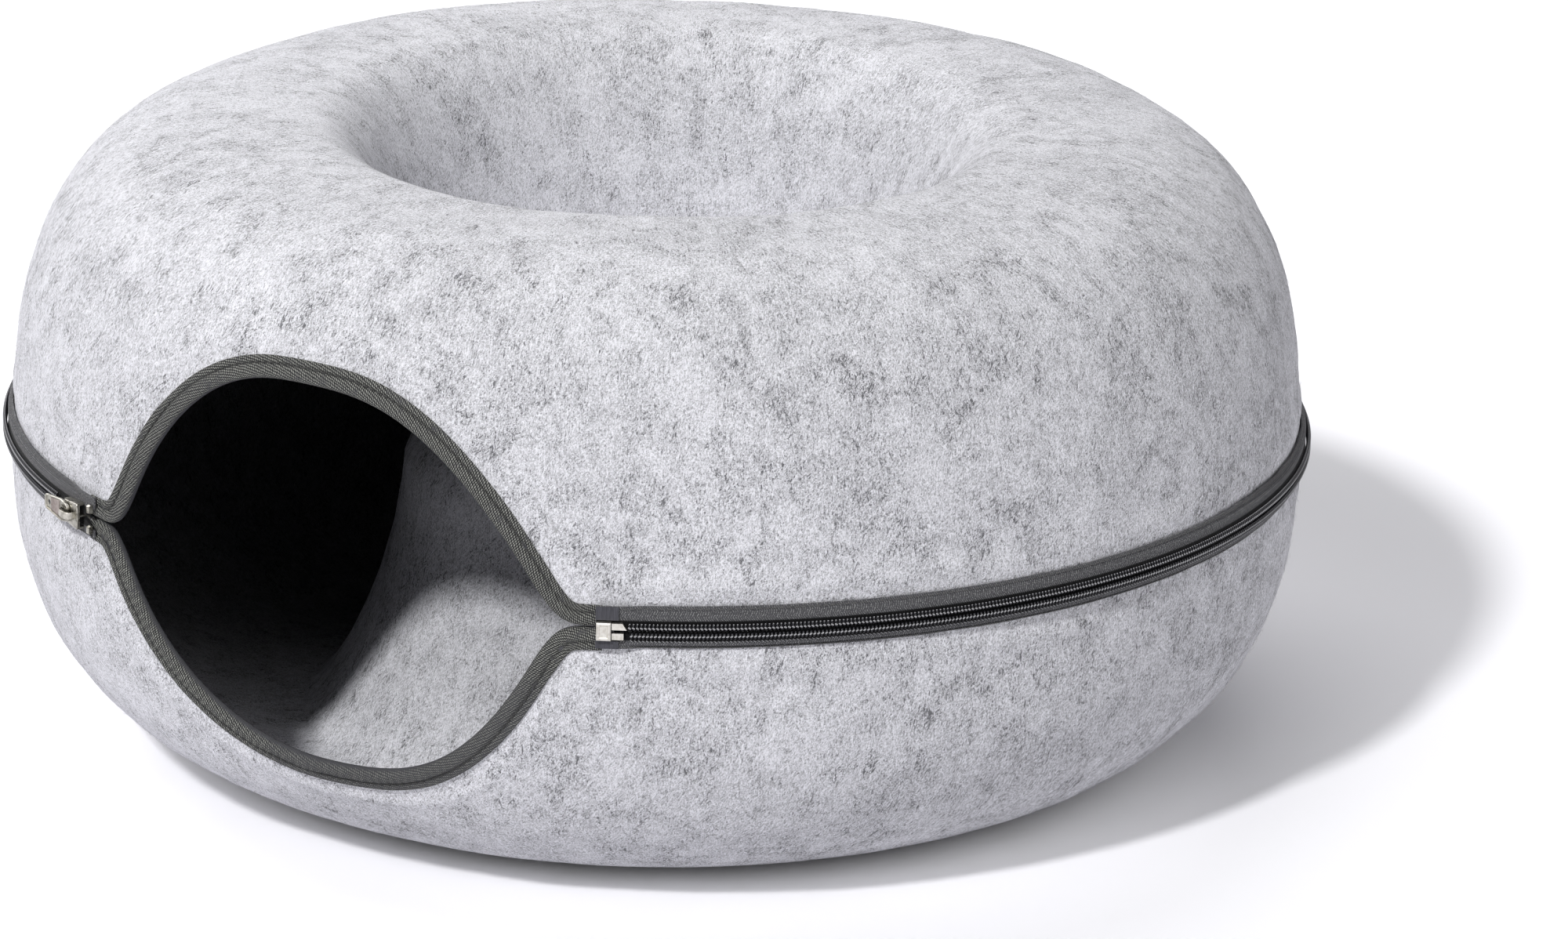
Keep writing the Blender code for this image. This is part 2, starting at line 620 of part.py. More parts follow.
def build_slider(name):
    sections = []
    for share in np.linspace(0, 1, SLIDER_SLICES + 1):
        flare = 1 + (SLIDER_FLARE - 1) * smoothstep(share)
        u = (share - 0.5) * SLIDER_LENGTH
        sections.append([slider_point(u, v, w) for v, w in slider_section(flare)])
    body = loft(name, sections, "nickel", 30)
    clear = PLATE_FACE + BRIDGE_CLEAR
    crown = clear + BRIDGE_THICKNESS
    foot = PLATE_FACE - BRIDGE_SINK
    reach = BRIDGE_HALF_SPAN + BRIDGE_THICKNESS
    arch = [(-reach, foot), (-reach, crown - BRIDGE_ROUND), (-reach + BRIDGE_ROUND, crown),
            (reach - BRIDGE_ROUND, crown), (reach, crown - BRIDGE_ROUND), (reach, foot),
            (BRIDGE_HALF_SPAN, foot), (BRIDGE_HALF_SPAN, clear), (-BRIDGE_HALF_SPAN, clear),
            (-BRIDGE_HALF_SPAN, foot)]
    sides = [[slider_point(u, v, w) for u, w in arch] for v in (-BRIDGE_HALF_WIDTH, BRIDGE_HALF_WIDTH)]
    bridge = loft("bridge_cutter", sides, "nickel")
    bridge.hide_render = True
    bridge.display_type = "WIRE"
    union = body.modifiers.new("bridge", "BOOLEAN")
    union.operation = "UNION"
    union.solver = "EXACT"
    union.object = bridge
    return body


def tab_frame():
    """Origin on the pull tab's axis, with its directions along the ring, up and outwards."""
    turn = math.radians(SLIDER_CENTRE)
    along = np.array([math.cos(turn), math.sin(turn), 0.0])
    outward = np.array([math.sin(turn), -math.cos(turn), 0.0])
    return slider_point(0, 0, TAB_AXIS), along, np.array([0.0, 0.0, 1.0]), outward


def rounded_outline(corners, radius, steps=3):
    """The outline with each corner replaced by a few points of a curve."""
    outline = []
    for index, corner in enumerate(corners):
        before, after = Vector(corners[index - 1]), Vector(corners[(index + 1) % len(corners)])
        corner = Vector(corner)
        start = corner + (before - corner).normalized() * radius
        end = corner + (after - corner).normalized() * radius
        for share in np.linspace(0, 1, steps + 1):
            first, second = start.lerp(corner, share), corner.lerp(end, share)
            outline.append(first.lerp(second, share))
    return outline


def build_tab(name):
    """Tapered plate with the slot that passes round the bridge and a hole in its far end."""
    bar = TAB_BAR / 2
    slot_half = BRIDGE_HALF_WIDTH + SLOT_CLEAR
    outline = rounded_outline([(bar, TAB_NEAR_HALF * TAB_END_SHARE), (bar, -TAB_NEAR_HALF * TAB_END_SHARE),
                               (-SLOT_LENGTH, -TAB_NEAR_HALF), (-TAB_LENGTH, -TAB_FAR_HALF),
                               (-TAB_LENGTH, TAB_FAR_HALF), (-SLOT_LENGTH, TAB_NEAR_HALF)], TAB_CORNER)
    slot = [Vector(point) for point in ((-bar, slot_half), (-bar, -slot_half),
                                        (-SLOT_LENGTH, -slot_half), (-SLOT_LENGTH, slot_half))]
    centre = -TAB_LENGTH + TAB_HOLE_INSET
    turns = np.linspace(0, 2 * np.pi, 12, endpoint=False)
    hole = [Vector((centre + TAB_HOLE_RADIUS * math.cos(turn), TAB_HOLE_RADIUS * math.sin(turn)))
            for turn in turns]
    origin, along, up, outward = tab_frame()
    loops = [outline, slot, hole]
    flat = [point for loop in loops for point in loop]
    count = len(flat)
    vertices = []
    for level in (-TAB_THICKNESS / 2, TAB_THICKNESS / 2):
        vertices += [origin + along * point.x + up * point.y + outward * level for point in flat]
    triangles = tessellate_polygon([[Vector((point.x, point.y, 0)) for point in loop] for loop in loops])
    faces = [tuple(face) for face in triangles]
    faces += [tuple(index + count for index in reversed(face)) for face in triangles]
    start = 0
    for loop in loops:
        for index in range(len(loop)):
            here, there = start + index, start + (index + 1) % len(loop)
            faces.append((here, there, there + count, here + count))
        start += len(loop)
    return make_object(name, vertices, faces, "nickel", 30, origin)


def build_disc(side, name):
    low, high = HALF_GAP, HALF_GAP + DISC_THICKNESS
    sections = []
    for lift in (low, high):
        height = SEAM_HEIGHT + side * lift
        turns = np.linspace(0, 360, DISC_SIDES, endpoint=False)
        sections.append([on_ring(turn, DISC_RADIUS, height) for turn in turns])
    return loft(name, sections, "hook_and_loop", 30)


def add_empty(name):
    empty = bpy.data.objects.new(name, None)
    empty.location = ring_centre()
    bpy.context.scene.collection.objects.link(empty)
    return empty


def hang_on(parent, children):
    """Parent the pieces of one moving body without moving them."""
    for child in children:
        child.parent = parent
        child.location = child.location - parent.location


def build_half(side, half):
    return [
        build_shell(side, half + "_shell"),
        build_tape(side, half + "_zip_tape"),
        build_coil(side, half + "_coil"),
        build_tape_thread(side, half + "_tape_stitching"),
        build_binding(side, half + "_mouth_binding"),
        build_binding_thread(side, half + "_binding_stitching"),
        build_stop(side, half + "_top_stop"),
        arc_block(half + "_end_film", side, (TAPE_END["right"], FILM_END),
                  (TAPE_EDGE[side] - FILM_HEIGHT[side], TAPE_EDGE[side]),
                  (TAPE_FACE + GAP, TAPE_FACE + GAP + FILM_THICKNESS), "film"),
    ]


def build():
    clear_scene()
    pin_offsets, pin_lifts = (COIL_BACK, CHAIN_FACE), (CHAIN_INNER, CHAIN_OUTER)
    lower = build_half(LOWER, "lower")
    lower.append(build_disc(LOWER, "centre_hook_disc"))
    lower.append(build_box("retainer_box"))
    lower.append(arc_block("retainer_pin", LOWER, (PIN_START, PIN_END[LOWER]), pin_lifts, pin_offsets,
                           "box_metal"))
    upper = build_half(UPPER, "upper")
    upper.append(build_disc(UPPER, "centre_loop_disc"))
    upper.append(arc_block("insertion_pin", UPPER, (PIN_START, PIN_END[UPPER]), pin_lifts, pin_offsets,
                           "box_metal", PIN_POINT))
    hang_on(add_empty("lower_half"), lower)
    hang_on(add_empty("upper_half"), upper)
    slider = build_slider("slider_body")
    hang_on(slider, [build_tab("pull_tab")])


build()
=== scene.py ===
"""Looks of the felt donut tunnel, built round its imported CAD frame.

Metres, in the frame of the CAD: +Z up, the mouth faces -Y. Angles run from -Y towards +X about
the ring's centre; offsets are measured outwards from the felt's outer face.
"""
import math

import bmesh
import bpy
import numpy as np
from mathutils import Matrix, Vector, kdtree
from mathutils.geometry import tessellate_polygon


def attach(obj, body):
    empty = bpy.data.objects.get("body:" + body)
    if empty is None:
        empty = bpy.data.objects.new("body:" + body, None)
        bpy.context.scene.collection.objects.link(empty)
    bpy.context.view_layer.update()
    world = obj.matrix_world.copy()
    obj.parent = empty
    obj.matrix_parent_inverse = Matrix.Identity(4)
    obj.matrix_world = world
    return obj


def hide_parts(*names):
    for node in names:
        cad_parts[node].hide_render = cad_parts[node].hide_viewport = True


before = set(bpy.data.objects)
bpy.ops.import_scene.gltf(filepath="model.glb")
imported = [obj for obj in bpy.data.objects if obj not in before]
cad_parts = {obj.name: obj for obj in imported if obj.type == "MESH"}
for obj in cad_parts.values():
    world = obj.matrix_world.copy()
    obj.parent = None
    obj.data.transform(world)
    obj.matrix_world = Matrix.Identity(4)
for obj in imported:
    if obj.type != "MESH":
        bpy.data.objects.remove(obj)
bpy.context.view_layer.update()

UPPER, LOWER = 1, -1
SIDES = {UPPER: "upper", LOWER: "lower"}
BODIES = {UPPER: "upper_half", LOWER: "lower_half"}

# Sizes of the solids in metres and degrees, as the part's source has them.
GAP = 0.0003
HALF_GAP = GAP / 2
SLIDE_GAP = 0.00035
WALL_RADIUS = 0.25
CREST_RADIUS = 0.1393
WELL_RADIUS = 0.096
TOP_HEIGHT = 0.244
SEAM_HEIGHT = 0.1235
WIDEST_HEIGHT = 0.1073
FELT_THICKNESS = 0.003
RISE_POWER, DROP_POWER = 2.99, 2.24
WELL_POWER = {UPPER: 2.15, LOWER: 1.5}
SOLE_PRESS = 0.0006
WELL_FILLET = 0.015
SETBACK = 0.0056
DISC_THICKNESS = 0.0015
FLOOR_LIFT = HALF_GAP + DISC_THICKNESS + GAP + FELT_THICKNESS
MOUTH_RISE = {UPPER: 0.0754, LOWER: 0.0715}
MOUTH_PEAK = {UPPER: 0.0, LOWER: 2.4}
MOUTH_LEFT = {UPPER: -20.8, LOWER: -21.8}
MOUTH_RIGHT = {UPPER: 24.3, LOWER: 24.0}
MOUTH_LEFT_POWER = {UPPER: 2.95, LOWER: 2.2}
MOUTH_RIGHT_POWER = {UPPER: 2.5, LOWER: 2.9}
MOUTH_HALF_ANGLE = 24.5
MOUTH_SOFTEN = 1.3
ANGLE_STEP = 0.05
LEFT_SLIT, RIGHT_SLIT, SLIT_FADE = 0.0022, 0.0153, 1.6
BINDING_THICKNESS = 0.0007
BINDING_THREAD_DEPTH = 0.0045
SLIT_EDGE = HALF_GAP + BINDING_THICKNESS + GAP
SLIDER_PLATE = 0.001
TAPE_THICKNESS = 0.0007
COIL_DEPTH = 0.0016
TAPE_FLAT = {UPPER: 0.0057, LOWER: 0.0053}
TAPE_SEWN = {UPPER: 0.0071, LOWER: 0.0061}
TAPE_EDGE = {UPPER: 0.0089, LOWER: 0.007}
TAPE_LAP = 0.0096
SPREAD_LENGTH, SPREAD_EASE = 0.0068, 1.15
SPREAD_RISE = {UPPER: 0.0045, LOWER: 0.0036}
TAPE_BACK = GAP + SLIDER_PLATE + SLIDE_GAP
TAPE_FACE = TAPE_BACK + TAPE_THICKNESS
CHAIN_OUTER = 0.0031
CHAIN_FACE = TAPE_FACE + GAP + COIL_DEPTH
TAPE_THREAD_HEIGHT = {UPPER: 0.008, LOWER: 0.00655}
LEFT_TUCK, RIGHT_TUCK = 0.0052, 0.0022
STOP_INSET, STOP_LENGTH = 0.0007, 0.002
BOX_INSET, BOX_LENGTH = 0.0004, 0.0052
BOX_HALF_HEIGHT = CHAIN_OUTER + GAP
PIN_LENGTH, FILM_LENGTH = 0.0053, 0.0083
SLIDER_LENGTH, SLIDER_FLARE = 0.0108, 1.18
SLIDER_HALF_HEIGHT = CHAIN_OUTER + SLIDE_GAP + 0.0008
PLATE_FACE = CHAIN_FACE + SLIDE_GAP + SLIDER_PLATE
BRIDGE_HALF_WIDTH, BRIDGE_HALF_SPAN, BRIDGE_THICKNESS = 0.0011, 0.0026, 0.0009
BRIDGE_CROWN = PLATE_FACE + 0.0026 + BRIDGE_THICKNESS
TAB_AXIS = PLATE_FACE + 0.0013
TAB_BAR_HALF = 0.0007
TAB_SLOT_LENGTH = BRIDGE_HALF_SPAN + BRIDGE_THICKNESS + 0.0011
TAB_SLOT_HALF = BRIDGE_HALF_WIDTH + 0.0004
TAB_LENGTH, TAB_NEAR_HALF, TAB_FAR_HALF = 0.018, 0.0044, 0.0028
TAB_HOLE_CENTRE, TAB_HOLE_RADIUS = -0.0152, 0.001
DENSE = 900

# Lights, background and camera, read off the photograph.
# Each lamp: name, turn, height and spread in degrees, strength.
LAMPS = (("key", 1.0, 42.2, 5.0, 2.2), ("left", -120.0, 50.0, 60.0, 1.68),
         ("right", 70.0, 45.0, 60.0, 0.62))
SKY_STRENGTH, SKY_COLOUR = 0.02, (0.965, 0.955, 1.0)
FLOOR_HALF, FLOOR_GLOW, FLOOR_COLOUR = 9.0, 0.25, (0.918, 0.913, 0.948)
# The floor's camera-only glow stays away from the shadow's place and from the object: painted shadow there.
SHADOW_PLACE, SHADOW_REACH, OBJECT_REACH = (0.07, 0.26, 0.0), (0.1, 0.38), (0.165, 0.205)
LENS, SENSOR = 183.6, 36.0
CAMERA_DISTANCE, CAMERA_TURN, CAMERA_HEIGHT = 3.125, 32.3, 18.37
CAMERA_YAW, CAMERA_PITCH, CAMERA_ROLL = 0.91, -0.10, 1.02


def smoothstep(value):
    value = np.clip(value, 0.0, 1.0)
    return value * value * (3 - 2 * value)


def ramp(value, start, run):
    """0 up to the start, 1 from a run beyond it, smooth between."""
    return smoothstep((value - start) / run)


def bump(value, centre, width):
    """A round hill, 1 at its centre."""
    return np.exp(-((value - centre) / width) ** 2)


def running(steps):
    """Running total of the steps, from 0."""
    return np.concatenate([[0.0], np.cumsum(steps)])


def turns_round(count):
    return np.linspace(0, 2 * np.pi, count, endpoint=False)


def on_ring(angle, radius, height):
    """Points at angles about the ring's centre."""
    turn = np.radians(angle)
    x, y = radius * np.sin(turn), -radius * np.cos(turn) - SETBACK
    return np.stack(np.broadcast_arrays(x, y, height), -1)


def arc_angle(length, radius=WALL_RADIUS):
    return np.degrees(length / radius)


def unwound(angle):
    return angle + 360


SLIT_END = {"left": -MOUTH_HALF_ANGLE - arc_angle(LEFT_SLIT),
            "right": MOUTH_HALF_ANGLE + arc_angle(RIGHT_SLIT)}
TAPE_END = {"left": SLIT_END["left"] + arc_angle(LEFT_TUCK),
            "right": SLIT_END["right"] - arc_angle(RIGHT_TUCK)}
STOP_START = TAPE_END["left"] - arc_angle(STOP_INSET + STOP_LENGTH)
SPREAD_START = TAPE_END["left"] - arc_angle(SPREAD_LENGTH)
SLIDER_CENTRE = SPREAD_START - arc_angle(GAP + SLIDER_LENGTH / 2)
PIN_START = TAPE_END["right"] + arc_angle(BOX_INSET + BOX_LENGTH + GAP)
FILM_END = TAPE_END["right"] + arc_angle(FILM_LENGTH)
COIL_END = {"left": STOP_START - arc_angle(GAP), "right": PIN_START + arc_angle(PIN_LENGTH + GAP)}
LAP_START = {"left": SLIT_END["left"] - arc_angle(SLIDER_LENGTH / 2), "right": FILM_END}
LAP_END = {"left": LAP_START["left"] - arc_angle(TAPE_LAP),
           "right": LAP_START["right"] + arc_angle(TAPE_LAP)}


def quarter(power=2.0):
    """Shares of the two half axes along a quarter of a superellipse."""
    turn = np.linspace(0, np.pi / 2, DENSE)
    return np.cos(turn) ** (2 / power), np.sin(turn) ** (2 / power)


class Profile:
    """Outer face of one felt half, from the seam over the crest and down the well to the axis."""

    def __init__(self, side):
        self.side = side
        wall, well = WALL_RADIUS - CREST_RADIUS, CREST_RADIUS - WELL_RADIUS
        flat, steep = quarter(RISE_POWER)
        up_radius = CREST_RADIUS + wall * flat
        up_height = WIDEST_HEIGHT + (TOP_HEIGHT - WIDEST_HEIGHT) * steep
        edge = SEAM_HEIGHT + side * HALF_GAP
        edge_radius = np.interp(edge, up_height, up_radius)
        if side == UPPER:
            kept = up_height > edge
            radius, height = up_radius[kept], up_height[kept]
            far = TOP_HEIGHT
        else:
            kept = up_height < edge
            flat, steep = quarter(DROP_POWER)
            down_height = WIDEST_HEIGHT - (WIDEST_HEIGHT + SOLE_PRESS) * steep
            radius = np.concatenate([up_radius[kept][::-1], CREST_RADIUS + wall * flat[1:]])
            height = np.concatenate([up_height[kept][::-1], down_height[1:]])
            far = -SOLE_PRESS
        crest_index = len(radius)
        floor = SEAM_HEIGHT + side * FLOOR_LIFT
        foot = floor + side * WELL_FILLET
        flat, steep = quarter(WELL_POWER[side])
        in_radius = WELL_RADIUS + well * (1 - flat[::-1])
        in_height = foot + (far - foot) * steep[::-1]
        flat, steep = quarter()
        bend_radius = WELL_RADIUS - WELL_FILLET * (1 - flat)
        bend_height = foot - side * WELL_FILLET * steep
        flat_radius = np.linspace(WELL_RADIUS - WELL_FILLET, 0, DENSE)
        radius = np.concatenate([[edge_radius], radius, in_radius[1:], bend_radius[1:], flat_radius[1:]])
        height = np.concatenate([[edge], height, in_height[1:], bend_height[1:], np.full(DENSE - 1, floor)])
        self.radius, self.height = radius, np.maximum(height, 0.0)
        self.along = running(np.hypot(np.diff(self.radius), np.diff(self.height)))
        near_far = np.nonzero(np.abs(height - far) <= SOLE_PRESS)[0]
        self.flat_start = self.along[near_far[0]]
        self.crest = self.along[crest_index]
        self.flat_end = self.along[near_far[-1]]
        self.foot = self.along[crest_index + DENSE - 1]
        self.bend_end = self.along[crest_index + 2 * (DENSE - 1)]
        slope_r = np.gradient(self.radius, self.along, edge_order=1)
        slope_h = np.gradient(self.height, self.along, edge_order=1)
        size = np.hypot(slope_r, slope_h)
        self.normal_r = side * slope_h / size
        self.normal_h = -side * slope_r / size

    def distance_at(self, lift):
        wall = self.along <= self.crest
        return np.interp(lift, self.side * (self.height[wall] - SEAM_HEIGHT), self.along[wall])

    def points(self, angle, along, offset):
        """Points on the wall, moved off its outer face along the face's normal."""
        normal_r = np.interp(along, self.along, self.normal_r)
        normal_h = np.interp(along, self.along, self.normal_h)
        size = np.hypot(normal_r, normal_h)
        radius = np.interp(along, self.along, self.radius) + offset * normal_r / size
        height = np.interp(along, self.along, self.height) + offset * normal_h / size
        return on_ring(angle, np.maximum(radius, 0.0), height)


PROFILE = {side: Profile(side) for side in SIDES}


def mouth_curve(side):
    """Height of the cut edge from the seam plane, against the angle."""
    angles = np.arange(-2 * MOUTH_HALF_ANGLE, 2 * MOUTH_HALF_ANGLE, ANGLE_STEP)
    peak = MOUTH_PEAK[side]
    left = np.clip((peak - angles) / (peak - MOUTH_LEFT[side]), 0, 1) ** MOUTH_LEFT_POWER[side]
    right = np.clip((angles - peak) / (MOUTH_RIGHT[side] - peak), 0, 1) ** MOUTH_RIGHT_POWER[side]
    lift = SLIT_EDGE + (MOUTH_RISE[side] - SLIT_EDGE) * (1 - left - right)
    reach = int(MOUTH_SOFTEN / ANGLE_STEP)
    for _ in range(2):
        padded = np.pad(lift, reach, mode="edge")
        lift = np.convolve(padded, np.full(2 * reach + 1, 1 / (2 * reach + 1)), mode="valid")
    return angles, lift


MOUTH = {side: mouth_curve(side) for side in SIDES}


def mouth_angles(side, segments):
    """Angles evenly spaced along the cut edge, from the end of one slit to the other."""
    angles, lifts = MOUTH[side]
    kept = (angles > SLIT_END["left"]) & (angles < SLIT_END["right"])
    fine = np.concatenate([[SLIT_END["left"]], angles[kept], [SLIT_END["right"]]])
    heights = np.interp(fine, angles, lifts)
    travelled = running(np.hypot(np.diff(np.radians(fine)) * WALL_RADIUS, np.diff(heights)))
    return np.interp(np.linspace(0, travelled[-1], segments + 1), travelled, fine)


def hashed(x, y, z, seed):
    """Even noise from -1 to 1 for whole-numbered places."""
    mixed = (x * 374761393 + y * 668265263 + z * 1440662683 + seed * 974634777) & 0xFFFFFFFF
    mixed = ((mixed ^ (mixed >> 13)) * 1274126177) & 0xFFFFFFFF
    return ((mixed ^ (mixed >> 16)) & 0xFFFF) / 32767.5 - 1


def lump(points, size, seed):
    """Smooth noise from -1 to 1 with lumps of about one size."""
    scaled = np.asarray(points) / size
    cell = np.floor(scaled).astype(np.int64)
    part = smoothstep(scaled - cell)
    total = 0
    for corner in np.ndindex(2, 2, 2):
        weight = np.abs(1 - corner[0] - part[..., 0]) * np.abs(1 - corner[1] - part[..., 1])
        weight = weight * np.abs(1 - corner[2] - part[..., 2])
        total = total + weight * hashed(*np.moveaxis(cell + corner, -1, 0), seed)
    return total


def lump_along(travel, size, seed, row=0.0):
    """The same noise for distances along one line."""
    return lump(np.stack([travel, 0 * travel, 0 * travel + row], -1), size, seed)


class Value:
    """A node's output that is added to, multiplied and so on like a number; each step is a node."""

    def __init__(self, graph, socket):
        self.graph, self.socket = graph, socket

    def __add__(self, other):
        return self.graph.math("ADD", self, other)

    def __sub__(self, other):
        return self.graph.math("SUBTRACT", self, other)

    def __rsub__(self, other):
        return self.graph.math("SUBTRACT", other, self)

    def __mul__(self, other):
        return self.graph.math("MULTIPLY", self, other)

    def __truediv__(self, other):
        return self.graph.math("DIVIDE", self, other)

    def __abs__(self):
        return self.graph.math("ABSOLUTE", self)


class Graph:
    """The node tree of a material or world, built with short calls; inputs can be plain values."""

    def __init__(self, owner):
        owner.use_nodes = True
        self.owner, self.tree = owner, owner.node_tree

    def node(self, kind, inputs=None, out=0, **settings):
        made = self.tree.nodes.new("ShaderNode" + kind)
        for key, value in settings.items():
            setattr(made, key, value)
        for key, value in (inputs or {}).items():
            self.plug(made.inputs[key], value)
        return Value(self, made.outputs[out]) if made.outputs else None

    def plug(self, socket, value):
        if isinstance(value, Value):
            self.tree.links.new(value.socket, socket)
        elif socket.type == "RGBA":
            socket.default_value = (*value, 1.0)
        else:
            socket.default_value = value

    def math(self, operation, first, second=0.0):
        return self.node("Math", {0: first, 1: second}, operation=operation)

    def vector(self, operation, first, second=(0.0, 0.0, 0.0), out=0):
        return self.node("VectorMath", {0: first, 1: second}, out, operation=operation)

    def stretch(self, vector, factors):
        return self.vector("MULTIPLY", vector, factors)

    def moved(self, vector, shift):
        return self.vector("ADD", vector, (shift, shift, shift))

    def place(self):
        return self.node("TexCoord", out="Object")

    def tape(self):
        """The flat place on a tape, and its parts along and across the tape."""
        flat = self.node("UVMap", uv_map="tape")
        parts = self.node("SeparateXYZ", {0: flat}).socket.node.outputs
        return flat, Value(self, parts[0]), Value(self, parts[1])

    def noise(self, vector, scale, detail=2.0, roughness=0.5, distortion=0.0, out=0):
        return self.node("TexNoise", {"Vector": vector, "Scale": scale, "Detail": detail,
                                      "Roughness": roughness, "Distortion": distortion}, out)

    def rise(self, value, low, high, top=1.0):
        """0 below the low value, the top above the high one, smooth between."""
        return self.node("MapRange", {"Value": value, "From Min": low, "From Max": high, "To Max": top},
                         interpolation_type="SMOOTHSTEP")

    def mix(self, share, first, second):
        return self.node("Mix", {0: share, 6: first, 7: second}, out=2, data_type="RGBA")

    def strands(self, wrap, place, scale, curl, length, shift=0.0):
        """Curled fibres in three directions, the first one from the seam towards the well."""
        swirl = self.noise(self.moved(place, shift), 0.3 / curl, 2.0, 0.6, out=1)
        swirl = self.stretch(self.vector("SUBTRACT", swirl, (0.5, 0.5, 0.5)), (curl, curl, curl))
        fields = []
        for source, tilt, axis in ((wrap, 0.0, (1.0, 0.0, 0.0)), (place, 0.9, (1.0, 0.2, 0.0)),
                                   (place, -0.8, (0.2, 1.0, 0.3))):
            bent = self.vector("ADD", source, swirl)
            turned = self.node("VectorRotate", {"Vector": bent, "Axis": axis, "Angle": tilt})
            fields.append(self.noise(self.stretch(turned, (1.0, 1.0, length)), scale, 2.0, 0.6))
        first, second, third = fields
        return self.math("MAXIMUM", self.math("MAXIMUM", first, second), third) - 0.07

    def finish(self, colour, roughness, height=None, depth=0.0003, strength=1.0, **sockets):
        """Plug the values into the material's shader, the height as a bump, and hand back the material."""
        sockets.update(Base_Color=colour, Roughness=roughness)
        if height is not None:
            relief = {"Height": height, "Strength": strength, "Distance": depth}
            sockets["Normal"] = self.node("Bump", relief)
        for key, value in sockets.items():
            self.plug(self.tree.nodes["Principled BSDF"].inputs[key.replace("_", " ")], value)
        return self.owner


def material_graph(name):
    return Graph(bpy.data.materials.new(name))


# Painted shade darkens the felt towards this side; it has tufts of dark hair at a few places: place, reach.
SHADE_SIDE_WAY = (0.95, -0.1, 0.0)
TUFTS = (((0.1795, -0.154, 0.209), 0.0085), ((0.1728, -0.1547, 0.2165), 0.0065),
         ((0.2061, -0.1444, 0.0832), 0.0075), ((-0.1196, -0.129, 0.2421), 0.0055),
         ((0.2314, 0.0427, 0.2015), 0.006))


def felt_material():
    """Melange felt: light curled strands, dark hairs in loose clumps; painted shade in the tunnel and on
    one side.
    """
    graph = material_graph("felt_melange")
    wrap = graph.node("Attribute", out=1, attribute_name="wrap")
    shaded = graph.node("Attribute", out=2, attribute_name="shaded")
    place = graph.place()
    blotch = graph.noise(place, 20.0, 3.0, 0.55)
    clump = graph.noise(place, 95.0, 6.0, 0.7, 0.6)
    strands = graph.strands(wrap, place, 1700.0, 0.0035, 0.24)
    fine = graph.strands(wrap, place, 2900.0, 0.002, 0.34)
    hairs = graph.rise(graph.strands(wrap, place, 1400.0, 0.006, 0.16, 7.7), 0.5, 0.64)
    streaks = graph.rise(graph.strands(wrap, place, 560.0, 0.011, 0.13, 3.1), 0.52, 0.64)
    patch = graph.rise(graph.noise(graph.stretch(wrap, (1.0, 1.0, 0.6)), 58.0, 5.0, 0.7, 0.8), 0.4, 0.68)
    gather = (patch + 0.25) * graph.rise(clump, 0.38, 0.68)
    # Painted shade: the felt is drawn darker towards one side.
    side_shade = graph.vector("DOT_PRODUCT", place, SHADE_SIDE_WAY, out=1)
    shade = ((blotch - 0.5) * -0.3 + (clump - 0.5) * -0.55 + (patch - 0.35) * -0.12
             + (strands - 0.5) * 2.35 + (fine - 0.5) * 2.1 + side_shade * -0.34)
    ragged = (clump - 0.5) * 0.03
    spot = 0.0
    for centre, reach in TUFTS:
        away = graph.vector("DISTANCE", place, centre, out=1)
        spot = graph.math("MAXIMUM", spot, graph.rise(away + ragged, reach, reach * 0.2))
    tuft = graph.rise(graph.noise(place, 36.0, 5.0, 0.75, 0.9), 0.6, 0.72)
    tuft = graph.math("MAXIMUM", tuft, spot)
    dark = (hairs * (gather * 0.85 + (tuft * 1.2 + 0.25)) + streaks * (gather * 0.36 + tuft * 0.3)
            + spot * (graph.rise(clump, 0.42, 0.62) * 0.34 + 0.08))
    share = graph.node("Clamp", {0: shade - dark + 0.725})
    colour = graph.mix(share, (0.15, 0.149, 0.16), (0.925, 0.923, 0.972))
    # Painted shade: inside the tunnel the felt takes darker copies of its colours.
    colour = graph.mix(shaded, colour, graph.mix(share, (0.034, 0.034, 0.036), (0.19, 0.19, 0.203)))
    height = strands * 1.1 + fine * 0.5 + clump * 0.9
    return graph.finish(colour, 0.96, height, 0.0004, 0.9, Sheen_Weight=0.1, Sheen_Roughness=0.6,
                        Specular_IOR_Level=0.1)


def fuzz_material():
    graph = material_graph("felt_fuzz")
    pick = graph.rise(graph.noise(graph.place(), 300.0, 2.0), 0.35, 0.65)
    colour = graph.mix(pick, (0.42, 0.42, 0.44), (0.85, 0.85, 0.88))
    return graph.finish(colour, 0.9, Specular_IOR_Level=0.2)


# Twill of the binding: spacing of its rows and of the floats in a row, and how far each leans.
TWILL_ROW_PITCH, TWILL_ROW_LEAN = 0.001, 19.0
TWILL_FLOAT_PITCH, TWILL_FLOAT_LEAN = 0.00079, 9.3


